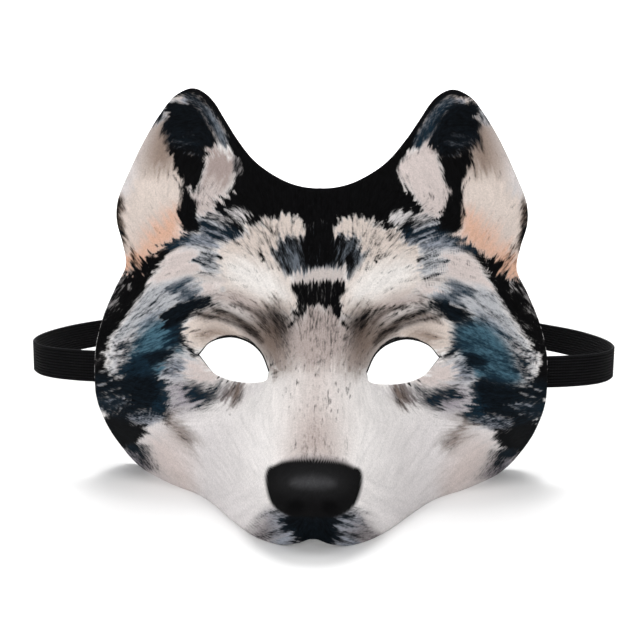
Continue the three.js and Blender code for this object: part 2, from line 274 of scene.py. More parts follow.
def face_sheet(name, depths, columns, rings, ease=0.0, hole_shift=(0.0, 0.0)):
    """A closed sheet that follows the face between two depths: a front grid, a back grid and
    walls round the outline and the eye holes. Near its edges the front falls away by ease, as
    (1 - d / width)^2, where d is the distance from the edge in the grid."""
    places, faces = [], []
    start = 0
    for side in (1, -1):
        grids = []
        for grid_rings, depth, fall in zip(rings, depths, (ease, 0.0)):
            x, z = half_face(columns, grid_rings, hole_shift)
            deep = np.full_like(x, depth)
            for edge in (0, -1):
                away = np.hypot(x - x[:, [edge]], z - z[:, [edge]])
                deep += fall * np.clip(1 - away / EASE_WIDTH, 0, 1) ** 2 * (x[:, [edge]] > 0)
            points = sheet_point(x, z, deep)
            points[..., 0] = side * np.where(x == 0, 0.0, points[..., 0])
            grids.append(start + np.arange(x.size).reshape(x.shape))
            start += x.size
            places.append(points.reshape(-1, 3))
        front, back = grids
        for grid, outward in ((front, side > 0), (back, side < 0)):
            after = np.roll(grid, -1, axis=0)
            quad = np.stack([grid[:, :-1], grid[:, 1:], after[:, 1:], after[:, :-1]], axis=-1)
            faces.append((quad if outward else quad[..., ::-1]).reshape(-1, 4))
        on_middle = x[:, -1] == 0
        at_rim = ~(on_middle & np.roll(on_middle, -1))
        for edge in (0, -1):
            ahead, behind = (np.roll(grid[:, edge], -1) for grid in grids)
            wall = np.stack([front[:, edge], ahead, behind, back[:, edge]], axis=-1)
            if edge:
                wall = wall[at_rim][:, ::-1]
            faces.append(wall if side > 0 else wall[:, ::-1])
    return build_mesh(name, np.vstack(places), np.vstack(faces))


# Columns beside the upper outline, the middle line above and below the eye, and the lower outline.
FINE_COLUMNS = (190, 50, 46, 114)
FINE_RINGS = np.linspace(0, 1, 112)
COARSE_RINGS = np.linspace(0, 1, 9)
printed_face, places = face_sheet("printed_face", (0.0, CLOTH), FINE_COLUMNS, (FINE_RINGS, COARSE_RINGS),
                                  ease=EDGE_EASE)
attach(printed_face, "root")
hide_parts("mask_shell")

# The print on the cloth: a husky's coat. Its inks, as screen colours from 0 to 255.
INKS = {
    "white": (248, 244, 242), "bright": (248, 243, 239), "warm": (232, 218, 209), "cream": (224, 210, 202),
    "ash": (234, 229, 229), "taupe": (154, 135, 123), "peach": (231, 185, 160), "pink": (224, 211, 207),
    "ice": (206, 208, 213), "mist": (172, 178, 190), "steel": (124, 132, 142), "sheen": (92, 100, 110),
    "teal": (84, 122, 140), "deep": (44, 72, 86), "smoke": (146, 140, 142), "fawn": (192, 178, 173),
    "soot": (15, 15, 16), "slate": (62, 64, 70), "umber": (128, 111, 101), "bark": (84, 73, 68),
    "dusk": (176, 160, 155), "glow": (34, 34, 35), "lilac": (178, 172, 179), "rose": (212, 202, 198),
    "shine": (70, 70, 72), "pit": (7, 7, 8),
}
DARK_FUR = (6, 6, 7)
BLUE_FUR = (16, 34, 46)

# Markings of one half as they show on the picture's left, in picture points across and down.
# Each has the softness of its edge in points, how dark and how blue its fur is, and its ink.
# None leaves what lies under it. Both halves get them, the right one as in a mirror.
MARKINGS = [
    ("cheeks", 10, 0.02, 0, "white", [(90, 290), (330, 290), (330, 560), (90, 560)]),
    ("cheek slope", 60, None, None, "ash", [
        (140, 400), (230, 400), (250, 450), (236, 520), (150, 520), (130, 450)]),
    ("ear front", 6, 0.03, 0, "cream", [
        (108, 215), (112, 195), (125, 165), (140, 138), (155, 112), (168, 97), (176, 92), (190, 86),
        (206, 92), (220, 105), (232, 122), (215, 140), (200, 160), (182, 175), (184, 200), (178, 228),
        (158, 252), (124, 276), (112, 240)]),
    ("ear pale edge", 16, None, None, "ash", [
        (165, 98), (170, 110), (160, 124), (150, 140), (140, 155), (130, 190), (120, 205), (104, 205),
        (112, 170), (140, 125)]),
    ("ear shade", 26, 0.14, None, "taupe", [
        (158, 112), (168, 122), (176, 140), (178, 160), (170, 176), (160, 180), (150, 172), (144, 158),
        (148, 136)]),
    ("ear inner brown", 8, 0.42, 0, "bark", [
        (163, 128), (170, 138), (178, 150), (172, 158), (167, 150), (161, 138)]),
    ("ear low front", 14, 0.03, None, "warm", [
        (124, 202), (140, 180), (160, 172), (172, 172), (180, 182), (178, 195), (160, 206), (140, 214),
        (126, 230), (134, 246), (124, 240)]),
    ("ear peach", 20, 0.06, 0, "peach", [
        (152, 226), (164, 214), (176, 208), (182, 216), (182, 232), (172, 244), (156, 254), (138, 264),
        (128, 262), (140, 244)]),
    ("ear peach foot", 7, 0.25, 0, "peach", [
        (122, 256), (140, 250), (147, 258), (142, 270), (134, 274), (118, 276)]),
    ("ear flecks", 7, 0.8, 0, "taupe", [
        (108, 190), (121, 191), (123, 205), (121, 215), (124, 232), (127, 246), (120, 248), (108, 225)]),
    ("ear fleck dark", 4, 0.95, 0.1, None, [(118, 225), (123, 225), (124, 236), (121, 241), (117, 233)]),
    ("ear foot lines", 4, 0.75, 0, None, [
        (130, 240), (133, 246), (135, 258), (140, 266), (136, 268), (131, 256)]),
    ("side border", 6, 0.98, 0, None, [
        (118, 276), (138, 272), (140, 262), (146, 255), (152, 254), (156, 250), (165, 246), (174, 238),
        (190, 230), (196, 234), (184, 244), (170, 252), (164, 262), (160, 270), (152, 276), (149, 284),
        (144, 292), (139, 300), (134, 306), (130, 313), (124, 320), (120, 328), (114, 334), (111, 341),
        (106, 347), (103, 354), (103, 362), (108, 368), (110, 374), (110, 382), (88, 400), (78, 330),
        (96, 290)]),
    ("border teal", 7, 0.86, 0.9, "deep", [
        (162, 250), (176, 238), (194, 232), (196, 238), (180, 246), (168, 252)]),
    ("border grey", 9, 0.6, 0, "smoke", [
        (116, 282), (124, 284), (122, 290), (115, 296), (118, 302), (112, 309), (102, 312), (106, 298)]),
    ("border fleck", 4, 0.35, 0, "smoke", [(128, 282), (132, 283), (133, 288), (130, 288)]),
    ("border low grey", 8, 0.94, 0, "smoke", [(92, 352), (100, 350), (101, 364), (98, 380), (90, 380)]),
    ("forehead cap", 5, 1, 0, None, [
        (180, 78), (205, 88), (262, 150), (330, 175), (330, 240), (300, 240), (262, 232), (243, 232),
        (226, 240), (205, 240), (196, 226), (212, 210), (219, 201), (231, 188), (233, 176), (238, 162),
        (228, 142), (222, 127), (215, 116), (203, 99), (192, 93), (180, 95), (170, 97)]),
    ("ear tip rim", 2.5, 1, 0, None, [
        (158, 106), (168, 90), (191, 80), (214, 92), (240, 125), (266, 165), (243, 168), (236, 156),
        (226, 138), (221, 127), (215, 116), (209, 107), (203, 99), (198, 94.5), (192, 93.3), (186, 93.8),
        (178, 96), (170, 97.5), (162, 107)]),
    ("ear tip pale", 6, 0.7, 0.15, "ice", [
        (157, 112), (163, 103), (170, 98), (176, 97), (175, 101), (169, 106), (166, 113), (165, 120),
        (160, 124), (155, 121)]),
    ("inner ear", 4.5, 1, 0.12, "slate", [
        (168, 108), (172, 101), (180, 103), (188, 101.5), (193, 103), (199, 110), (205, 118), (209, 126),
        (214, 137), (219, 147), (213, 150), (205, 152), (196, 156), (186, 154), (176, 148), (168, 137),
        (162, 126), (165, 120), (170, 117), (169, 112)]),
    ("inner ear wisps", 8, 0.96, 0.2, "steel", [
        (170, 131), (182, 132), (196, 139), (200, 152), (190, 156), (178, 150), (172, 142)]),
    ("ear sheen", 6, 0.8, 0.3, "sheen", [
        (182, 100), (186, 95), (192, 94), (199, 96), (204, 101), (211, 110), (217, 120), (223, 131),
        (229, 144), (226, 147), (218, 141), (212, 130), (206, 121), (200, 111), (194, 104), (187, 101.5)]),
    ("ear sheen light", 6, 0.34, 0.3, "steel", [
        (206, 107), (212, 110), (222, 127), (229, 143), (224, 142), (214, 127)]),
    ("ear tip spots", 3, 0.5, 0.2, "mist", [(179, 99), (186, 97), (188, 100.5), (182, 104)]),
    ("inner beige", 7, 0.06, 0, "dusk", [
        (206, 156), (211, 150), (222, 151), (230, 156), (237, 160), (237, 168), (232, 176), (231, 186),
        (222, 194), (217, 202), (211, 210), (205, 216), (199, 214), (197, 208), (198, 203), (191, 194),
        (184, 187), (190, 189), (198, 190), (201, 182), (203, 174), (207, 168)]),
    ("inner beige low", 8, 0.3, 0, "pink", [
        (184, 187), (195, 190), (206, 182), (222, 182), (220, 198), (208, 214), (199, 212), (194, 198)]),
    ("beige right wisps", 5, 0.6, 0, "smoke", [
        (233, 154), (238, 156), (244, 168), (240, 176), (235, 178), (234, 168)]),
    ("ear column", 4, 1, 0, None, [
        (173, 155), (182, 152), (192, 158), (200, 160), (206, 163), (204, 170), (200, 180), (198, 188),
        (192, 190), (185, 187), (188, 191), (194, 198), (198, 206), (197, 214), (200, 220), (201, 232),
        (184, 232), (178, 222), (179, 208), (181, 200), (180, 190), (183, 184), (181, 176), (176, 170),
        (172, 160)]),
    ("ear column top", 5, 1, 0, None, [
        (168, 144), (182, 146), (200, 149), (207, 157), (202, 168), (182, 168), (173, 158)]),
    ("tuft by the ear", 5, 0.6, 0.25, "ash", [
        (205, 217), (209, 212), (215, 210), (222, 212), (231, 222), (229, 230), (222, 224), (212, 221)]),
    ("tuft", 5, 0.4, 0.1, "ash", [
        (227, 212), (236, 207), (243, 208), (251, 213), (245, 218), (244, 227), (236, 222), (230, 216)]),
    ("dark strands", 6, 0.94, 0.6, "mist", [
        (199, 222), (210, 220), (224, 226), (240, 229), (241, 238), (228, 243), (214, 240), (206, 232),
        (199, 228)]),
    ("pale strand", 3, 0.3, 0.3, "ice", [
        (199, 218.5), (212, 220), (225, 228), (224, 230), (211, 224), (199, 222)]),
    ("pale strand low", 3, 0.4, 0.3, "mist", [
        (200, 227), (214, 229), (230, 238), (228, 240), (213, 233), (200, 230)]),
    ("blue strands", 8, 0.52, 0.8, "mist", [
        (184, 238), (198, 230), (210, 232), (217, 240), (222, 248), (214, 252), (202, 248), (186, 248),
        (176, 246)]),
    ("cream arc", 5, 0.2, 0, "warm", [
        (224, 243), (232, 240), (242, 237), (242, 230), (249, 228), (256, 226), (256, 220), (262, 226),
        (265, 215), (270, 221), (280, 217), (284, 214), (288, 214), (290, 220), (296, 219), (303, 222),
        (307.5, 229), (306, 236), (300, 237.5), (291, 234), (283, 238), (279, 240), (281, 246), (274, 250),
        (269, 252), (274, 258), (278, 264), (282, 270), (288, 276), (292, 282), (294, 290), (298, 296),
        (298, 306), (290, 312), (262, 312), (232, 298), (219, 282), (217, 262), (221, 250)]),
    ("arc hairs", 9, 0.3, 0.1, None, [
        (240, 236), (256, 224), (268, 226), (274, 244), (279, 268), (268, 264), (256, 250), (246, 246)]),
    ("arc flecks", 7, 0.22, 0.1, None, [
        (236, 240), (244, 230), (252, 228), (262, 238), (272, 250), (284, 266), (284, 273), (274, 271),
        (262, 262), (252, 254), (240, 250)]),
    ("white forehead", 18, 0, 0, "bright", [
        (222, 262), (240, 256), (262, 264), (280, 276), (290, 290), (290, 302), (268, 302), (244, 292),
        (224, 280)]),
    ("centre patch", 5, 0.8, 0, "steel", [
        (279, 239), (290, 235), (300, 238), (308, 236), (309, 222), (330, 216), (330, 266), (320, 268),
        (304, 269), (298, 266), (298, 272), (294, 268), (290, 277), (287, 276), (283, 268), (277, 262),
        (275, 256), (270, 250), (277, 250), (281, 244)]),
    ("centre column", 8, 0.97, 0, None, [
        (304, 236), (310, 222), (330, 216), (330, 268), (306, 264), (300, 252)]),
    ("centre strands", 10, 0.56, 0.1, "steel", [
        (282, 243), (288, 242), (298, 257), (298, 262), (292, 263), (286, 252)]),
    ("pale band", 5, 0.08, 0, "rose", [
        (294, 280), (292, 274), (299, 267), (306, 269), (316, 266.5), (330, 266), (330, 281), (316, 282),
        (303, 279), (300, 284), (296, 292), (292, 286)]),
    ("pink patch", 7, 0.03, 0, "pink", [
        (164, 260), (172, 251), (186, 248), (197, 250), (200, 262), (196, 270), (188, 276), (172, 281),
        (158, 285), (149, 286), (156, 272)]),
    ("pink patch foot", 10, 0.3, 0.2, "rose", [
        (186, 274), (200, 270), (220, 276), (218, 282), (200, 282), (190, 280)]),
    ("grey column", 7, 0.46, 0.35, "ice", [
        (199, 248), (214, 248), (221, 258), (219, 272), (210, 274), (200, 270), (198, 260)]),
    ("side band", 6, 0.36, 0.35, "ice", [
        (150, 285), (172, 282), (186, 278), (200, 282), (208, 296), (196, 300), (184, 303), (172, 309),
        (160, 314), (150, 322), (138, 332), (130, 344), (124, 360), (118, 376), (112, 376), (108, 364),
        (107, 354), (114, 341), (122, 327), (132, 311), (142, 296)]),
    ("side white", 8, 0.05, 0, "pink", [(200, 284), (216, 280), (224, 288), (220, 294), (206, 294)]),
    ("band wedge", 5, 0.58, 0.85, "steel", [
        (163, 290), (175, 282), (187, 276.5), (194, 278), (188, 284), (191, 291), (203, 295), (201, 300),
        (186, 302), (174, 301), (184, 292), (172, 294)]),
    ("side strands", 8, 0.8, 0.5, "ash", [
        (112, 350), (122, 340), (134, 332), (140, 340), (134, 352), (126, 362), (118, 378), (113, 370)]),
    ("band low blue", 8, 0.52, 0.7, "mist", [
        (140, 322), (152, 314), (164, 312), (160, 322), (148, 330), (138, 334)]),
    ("teal patch", 13, 0.56, 1, "teal", [
        (132, 342), (140, 328), (150, 322), (160, 316), (170, 316), (180, 324), (181, 334), (177, 346),
        (169, 355), (166, 366), (152, 370), (140, 366), (130, 370), (126, 360), (130, 350)]),
    ("teal patch light", 8, 0.34, 1, "teal", [
        (150, 330), (162, 324), (166, 334), (160, 346), (150, 348), (146, 340)]),
    ("teal side", 7, 0.85, 1, "deep", [
        (170, 327), (180, 322), (182, 330), (179, 346), (172, 352), (168, 340)]),
    ("teal low", 6, 0.93, 0.9, "deep", [
        (122, 366), (136, 357), (150, 353), (156, 364), (154, 378), (136, 382), (122, 380), (117, 372)]),
    ("navy knot", 5, 1, 0.3, None, [
        (148, 353), (160, 350), (173, 349), (171, 358), (166, 366), (158, 368), (150, 366), (146, 359)]),
    ("brow", 6, 1, 0.2, None, [
        (164, 326), (166, 312), (176, 304), (188, 299), (200, 298), (206, 294.5), (222, 291), (224, 297),
        (221, 301), (224, 306), (219, 311), (208, 311), (198, 315), (188, 320), (178, 325), (170, 328)]),
    ("brow mark", 3, 0.9, 0, None, [(210, 296.5), (217, 293.5), (224, 293.5), (223, 298), (215, 299)]),
    ("eye corner", 9, 0.88, 0.2, "slate", [
        (178, 327), (183, 326), (187, 336), (190, 344), (197, 350), (199, 355), (192, 357), (184, 351),
        (178, 340)]),
    ("corner pale", 14, 0.52, 0.4, "mist", [
        (170, 358), (180, 354), (189, 362), (187, 374), (178, 380), (170, 380), (164, 374), (166, 364)]),
    ("teal light", 6, 0.4, 0.9, "teal", [
        (151, 368), (158, 362), (166, 364), (164, 374), (158, 377), (152, 374)]),
    ("pale by the eye", 9, 0.03, 0, "pink", [
        (188, 360), (200, 360), (214, 373), (222, 381), (208, 384), (196, 382), (188, 374)]),
    ("cheek dark", 8, 1, 0.25, None, [
        (86, 376), (104, 374), (114, 378), (124, 377), (140, 375), (154, 372), (162, 376), (168, 384),
        (167, 398), (162, 410), (153, 416), (141, 420), (131, 426), (116, 426), (104, 420), (90, 404)]),
    ("cheek strands", 8, 0.86, 0.45, "steel", [
        (92, 396), (110, 394), (124, 396), (129, 402), (120, 410), (104, 414), (94, 406)]),
    ("strands below", 6, 0.62, 0.4, "mist", [
        (126, 416), (138, 410), (150, 411), (160, 408), (166, 418), (152, 424), (140, 426), (130, 422)]),
    ("teal column", 7, 0.97, 1, "deep", [
        (158, 378), (168, 382), (169, 400), (173, 414), (168, 420), (158, 413), (151, 410), (158, 398),
        (161, 390)]),
    ("lilac cheek", 14, 0.3, 0.2, "lilac", [
        (168, 384), (182, 380), (190, 390), (200, 404), (188, 412), (176, 412), (170, 402)]),
    ("under eye haze", 24, 0.3, 0.3, None, [
        (172, 384), (184, 380), (200, 382), (222, 386), (228, 398), (212, 410), (190, 412), (176, 400)]),
    ("under eye navy", 12, 0.8, 0.7, "slate", [
        (184, 388), (191, 383), (199, 386), (205, 388), (211, 391), (217, 384), (221, 389), (215, 398),
        (209, 403), (203, 406), (195, 403), (188, 398)]),
    ("under eye grey", 8, 0.18, 0, "smoke", [
        (222, 388), (228, 381), (240, 382), (247, 385), (243, 396), (234, 403), (226, 400), (221, 395)]),
    ("under eye wisps", 14, 0.36, 0, "umber", [
        (230, 394), (234, 384), (241, 383), (245, 390), (240, 398), (233, 402)]),
    ("under lid", 9, 0.06, 0, "ash", [(244, 386), (262, 383), (264, 388), (252, 396), (244, 396)]),
    ("corner dark", 5, 1, 0.05, None, [
        (98, 418), (112, 417), (122, 419), (128, 423), (137, 425), (147, 429), (147, 436), (139, 440),
        (134, 445), (128, 451), (120, 456), (108, 450), (98, 434)]),
    ("corner fleck", 3, 0.95, 0, None, [(134, 425.5), (140, 423.5), (147, 423.5), (144, 428), (138, 428)]),
    ("corner grey", 8, 0.58, 0.4, "lilac", [
        (117, 450), (128, 445), (144, 449), (152, 462), (160, 474), (146, 475), (130, 466), (121, 459)]),
    ("corner spots", 4, 1, 0.5, None, [
        (124, 445), (140, 443), (156, 444), (155, 450), (161, 454), (164, 460), (170, 464), (174, 470),
        (168, 476), (158, 472), (149, 467), (143, 462), (137, 458), (142, 453), (130, 452)]),
    ("corner flecks", 4, 0.5, 0, "smoke", [(171, 472), (179, 472), (178, 477), (172, 476)]),
    ("tear line", 16, 0.42, 0, "umber", [
        (167, 412), (174, 414), (184, 430), (198, 442), (192, 448), (180, 444), (170, 430)]),
    ("eyelid", 6, 0.04, 0, "warm", [
        (184, 328), (190, 320), (198, 316), (208, 317), (224, 321), (240, 329), (250, 338), (236, 337),
        (222, 338), (208, 344), (198, 351), (190, 345), (186, 338)]),
    ("eyelid brown", 12, 0.11, 0, "taupe", [
        (196, 333), (208, 328), (218, 327), (228, 331), (232, 336), (216, 336), (204, 342)]),
    ("brow cream", 12, 0.14, 0, "fawn", [
        (206, 296), (222, 291), (240, 291), (262, 304), (268, 318), (252, 318), (232, 306), (214, 303)]),
    ("brow browns", 12, 0.2, 0, "umber", [
        (196, 311), (214, 307), (232, 311), (246, 320), (260, 334), (250, 335), (236, 325), (218, 319),
        (200, 318)]),
    ("bridge shade", 26, 0.34, 0, "umber", [
        (248, 320), (262, 312), (276, 308), (292, 320), (296, 340), (292, 358), (280, 366), (270, 364),
        (266, 350), (258, 340)]),
    ("bridge shade low", 20, 0.2, 0, "umber", [
        (244, 326), (262, 330), (292, 334), (300, 352), (294, 368), (278, 374), (268, 360), (256, 344)]),
    ("bridge shade dark", 20, 0.62, 0, "bark", [
        (262, 312), (270, 306), (281, 312), (289, 322), (292, 338), (284, 344), (275, 332), (268, 324)]),
    ("bridge", 44, 0.03, 0, "rose", [
        (292, 350), (350, 350), (350, 458), (300, 456), (290, 440), (288, 410), (290, 380)]),
    ("bridge speckle", 16, 0.32, 0, "fawn", [
        (300, 313), (306, 306), (318, 304), (350, 304), (350, 366), (312, 370), (298, 358), (290, 346),
        (289, 332), (294, 321)]),
    ("bridge foot", 34, 0.27, 0, "fawn", [
        (302, 420), (350, 410), (350, 462), (290, 462), (290, 450), (298, 436)]),
    ("lower patch", 4, 0.97, 0, None, [
        (299, 281), (308, 277.5), (316, 281), (350, 279), (350, 305), (322, 304), (312, 306), (306, 309),
        (303, 317), (298, 320), (292, 318), (297, 308), (299, 300), (293, 294), (290, 288), (296, 283)]),
    ("muzzle side", 40, 0, 0, "ash", [
        (196, 470), (244, 486), (258, 504), (256, 530), (240, 540), (200, 520)]),
    ("cheek low", 22, 0, 0, "pink", [
        (150, 432), (176, 436), (196, 470), (190, 500), (160, 480), (146, 452)]),
    ("lip grey", 14, 0.32, 0.1, "smoke", [
        (246, 536), (256, 522), (266, 508), (276, 512), (284, 528), (292, 536), (290, 548), (260, 546)]),
    ("lip blue", 18, 0.56, 0.4, "mist", [
        (270, 516), (278, 510), (300, 508), (300, 536), (290, 544), (280, 534), (272, 526)]),
    ("lip dark", 14, 0.95, 0.25, "slate", [
        (279, 508), (286, 506), (296, 506), (350, 506), (350, 552), (298, 552), (293, 545), (290, 538),
        (286, 530), (281, 520)]),
    ("mouth", 6, 1, 0.15, "soot", [(288, 512), (296, 504), (350, 504), (350, 548), (303, 546), (294, 534)]),
    ("lip line", 4, 0.9, 0.1, None, [
        (266, 535), (276, 532), (290, 530), (290, 532), (276, 535), (267, 537)]),
    ("lip lobe", 8, 0.36, 0.1, "mist", [
        (270, 539), (280, 534), (288, 538), (289, 545), (280, 548), (268, 547)]),
]

# Markings that only the half on the picture's right has, in the same layout.
RIGHT_MARKINGS = [
    ("right sheen", 7, 0.8, 0.85, "steel", [
        (448, 97), (438, 104), (428, 118), (416, 140), (416, 147), (424, 146), (432, 133), (440, 117),
        (449, 103)]),
    ("right beige", 7, 0.05, 0, "pink", [
        (425, 146), (412, 152), (403, 160), (397, 176), (404, 184), (414, 192), (424, 206), (433, 214),
        (441, 216), (445, 202), (451, 191), (444, 183), (440, 165), (434, 151)]),
    ("right column", 5, 1, 0, None, [
        (442, 161), (454, 157), (468, 160), (468, 172), (460, 185), (461, 204), (460, 226), (450, 231),
        (438, 226), (442, 215), (446, 203), (453, 190), (446, 180)]),
    ("right teal", 13, 0.6, 1, "teal", [
        (453, 325), (469, 321), (490, 328), (505, 343), (514, 366), (522, 382), (508, 384), (478, 372),
        (462, 352)]),
    ("right knot", 6, 1, 0.3, None, [
        (466, 357), (474, 353), (485, 357), (486, 364), (475, 368), (467, 364)]),
]

# The nose and the parting of the lips are bare skin, so no hair carries their edges.
NOSE_PARTS = [
    ("nose haze", 10, 0.5, 0, "smoke", [
        (276, 466), (286, 460), (300, 457), (350, 456.5), (350, 464), (290, 466)]),
    ("nose", 3.5, 0, 0, "soot", [
        (265, 480), (265.5, 473), (268, 467), (273, 465.5), (279, 463), (285, 461), (300, 459), (330, 458),
        (330, 517), (304, 516), (296, 517), (288, 516), (281, 513), (275, 508.5), (270, 502), (267, 493)]),
    ("nose glow", 26, None, None, "glow", [
        (276, 476), (300, 468), (350, 467), (350, 494), (300, 496), (278, 492)]),
    ("nose shine", 12, None, None, "shine", [(288, 483), (302, 477), (350, 475.5), (350, 486), (302, 488)]),
    ("nostril", 9, None, None, "pit", [
        (283, 511), (290, 501), (300, 500), (305, 506), (301, 515), (290, 517)]),
]

# Single hairs and lines of the coat: softness, darkness, ink, width at each end and the way
# they run, again on the picture's left.
STROKES = [
    ("brow line", 7, 0.8, "bark", (3.4, 4.2), [
        (214, 310), (226, 313), (238, 318.5), (247, 326), (257, 333)]),
    ("brow line low", 7, 0.66, "bark", (2, 3.6), [
        (198, 314), (212, 317), (226, 320.5), (240, 326), (252, 333), (262, 341)]),
    ("brow line high", 5, 0.5, "bark", (1.6, 3.4), [(232, 303), (244, 307), (256, 314), (264, 322)]),
    ("brow hair", 2, 0.7, None, (2, 1.2), [(228, 304), (240, 307), (250, 312)]),
    ("brow hair mid", 2, 0.5, None, (1.6, 1), [(240, 312), (250, 318), (258, 326)]),
    ("fan line", 4, 0.9, None, (4, 2), [(302, 306), (300, 314), (294, 322), (287, 328)]),
    ("fan line mid", 2, 0.8, None, (2, 1), [(299, 304), (294, 312), (286, 318)]),
    ("fan line high", 2, 0.7, None, (1.6, 0.8), [(298, 302), (291, 308)]),
    ("fold of the ear", 2.5, 0.8, None, (1.2, 2.4), [(173, 175), (179, 185), (180, 200), (177, 213)]),
    ("forehead hair", 1.5, 0.5, None, (0.8, 1.2), [(276, 294), (270, 302), (266, 312)]),
    ("arc fleck", 2, 0.95, None, (2.4, 2.2), [(260, 254), (264, 258), (262, 261)]),
    ("arc hair", 2, 0.8, None, (1.8, 1), [(262, 222), (270, 231)]),
    ("column fleck", 2, 0.85, None, (2.6, 1.4), [(201, 252), (207, 254)]),
    ("column fleck", 2, 0.9, None, (1.6, 3), [(209, 254), (221, 258)]),
    ("column fleck", 2, 0.8, None, (2.6, 1.6), [(201, 261), (207, 265)]),
    ("column fleck", 2, 0.8, None, (1.6, 2), [(201, 272), (214, 276)]),
    ("inner wisp", 4, 0.62, "slate", (1.5, 2.6), [(168, 133), (180, 134.5), (192, 133)]),
    ("inner wisp", 4, 0.6, "slate", (2, 2.6), [(172, 140), (184, 143), (198, 141)]),
    ("inner wisp", 4, 0.65, "slate", (2, 2), [(172, 147), (186, 149)]),
    ("inner wisp", 4, 0.6, "slate", (3, 2), [(184, 153), (202, 155)]),
    ("cheek hair", 2, 0.6, "steel", (0.8, 1.4), [(98, 395), (109, 391), (122, 388)]),
    ("cheek hair", 2, 0.5, "mist", (0.8, 1.4), [(102, 402), (112, 400), (124, 398)]),
    ("cheek hair", 2, 0.6, "steel", (0.8, 1.2), [(100, 409), (110, 408), (122, 409)]),
    ("cheek hair", 2, 0.6, "steel", (0.8, 1.4), [(114, 406), (123, 403), (131, 400)]),
    ("lid fleck", 2.5, 0.45, None, (1, 2), [(187, 334), (193, 331), (200, 330)]),
    ("lid fleck", 2.5, 0.4, None, (1.6, 1), [(202, 334), (207, 332), (212, 331)]),
    ("lid fleck", 2.5, 0.35, None, (1.4, 1), [(208, 328), (215, 327), (222, 329)]),
    ("cheek hair", 2, 0.55, "mist", (0.8, 1.4), [(94, 386), (104, 384), (112, 380)]),
    ("inner corner hair", 3, 0.4, None, (1.8, 0.8), [(271, 365), (280, 361)]),
    ("inner corner hair", 3, 0.5, None, (2, 0.8), [(271, 374.5), (280, 371)]),
    ("inner corner hair", 3, 0.4, None, (1.8, 0.8), [(271, 377), (277, 377)]),
    ("eye corner hair", 3, 0.6, None, (1.6, 1), [(198, 353), (191, 359)]),
    ("lower lid hair", 1.5, 0.8, None, (2, 1), [(219, 377), (217, 379)]),
    ("lower lid hair", 1.5, 0.8, None, (2.4, 1), [(228, 381), (226, 383.5)]),
    ("lower lid hair", 4, 0.5, None, (2.6, 1.4), [(241, 384), (241, 394), (237, 400)]),
    ("lower lid hair", 4, 0.4, None, (2, 1.2), [(235, 385), (231, 392)]),
    ("lid line", 1.2, 1, None, (0.4, 2), [
        (199, 354), (205, 347.5), (212.5, 341.6), (221, 337.2), (230, 335.4)]),
    ("lid line end", 1.2, 1, None, (2, 0.6), [
        (230, 335.4), (239, 336.2), (248, 339.4), (255, 345), (260.5, 352), (265, 361)]),
    ("lip parting", 1.5, 0, "pit", (2.4, 2.4), [(314.5, 506), (314.5, 541)]),
]

# Areas where short dark hairs stray over pale fur: how many, how dark, how long, and the corners.
STRAY_AREAS = [
    (46, 0.78, 7, [
        (224, 244), (244, 232), (258, 222), (272, 224), (276, 244), (286, 270), (270, 268), (244, 256)]),
    (26, 0.55, 6, [(262, 222), (300, 222), (304, 236), (282, 238), (270, 250)]),
    (30, 0.5, 7, [(222, 262), (250, 262), (284, 280), (290, 304), (256, 300), (226, 284)]),
    (30, 0.5, 6, [(160, 262), (176, 252), (198, 252), (216, 280), (196, 292), (160, 284)]),
    (26, 0.6, 5, [(190, 190), (214, 184), (220, 196), (208, 214), (198, 210)]),
    (26, 0.32, 6, [(140, 170), (166, 164), (176, 190), (176, 226), (150, 240), (128, 240), (126, 200)]),
    (44, 0.62, 9, [(205, 302), (235, 298), (262, 310), (272, 328), (258, 336), (240, 322), (215, 313)]),
    (190, 0.5, 2.6, [(286, 318), (330, 312), (330, 430), (298, 430), (280, 392), (283, 350)]),
    (30, 0.6, 8, [(120, 330), (150, 296), (190, 288), (190, 300), (150, 322), (126, 352)]),
]
STRAY_SEED, STRAY_SOFTNESS, STRAY_WIDTHS = 21, 2.2, (0.8, 1.8)
STRAY_TURN, HALF_LENGTHS, STRAY_FADE = 0.12, (0.3, 0.7), (0.45, 1.0)

# The way the coat lies: places on the picture's left, across and down, and the hair's angle
# in degrees above the level there.
FUR_WAYS = [
    (150, 130, 68), (188, 124, 8), (210, 112, -58), (222, 132, -66), (193, 98, -20), (188, 190, 80),
    (216, 176, 60), (160, 225, -55), (134, 262, -50), (222, 214, -28), (212, 232, -22), (256, 228, -52),
    (284, 222, 85), (290, 250, -70), (319, 245, 90), (319, 285, 90), (208, 262, -18), (176, 262, 25),
    (150, 300, 38), (130, 330, 34), (186, 290, 22), (160, 330, 30), (120, 362, 12), (150, 366, 24),
    (112, 400, -10), (150, 400, 8), (150, 458, -38), (120, 440, -25), (280, 318, -55), (240, 318, -30),
    (200, 310, 24), (204, 390, 20), (232, 390, 60), (230, 440, -60), (300, 400, 88), (319, 330, 90),
    (262, 530, 28), (284, 526, 12), (306, 528, 80), (190, 360, -20), (125, 290, 50),
]
WAY_SPREAD = 200.0


def to_picture(points):
    """Points across and down at which millimetre places of the part show to the camera."""
    away = points - camera_place
    scale = FOCAL_POINTS / (away @ looking)
    return PICTURE / 2 + away @ picture_right * scale, PICTURE / 2 - away @ picture_up * scale


def rounded(corners, times):
    """A closed line with its corners cut at quarters of each side, the given number of times."""
    for _ in range(times):
        after = np.roll(corners, -1, axis=0)
        cuts = 0.75 * corners + 0.25 * after, 0.25 * corners + 0.75 * after
        corners = np.stack(cuts, axis=1).reshape(-1, 2)
    return corners


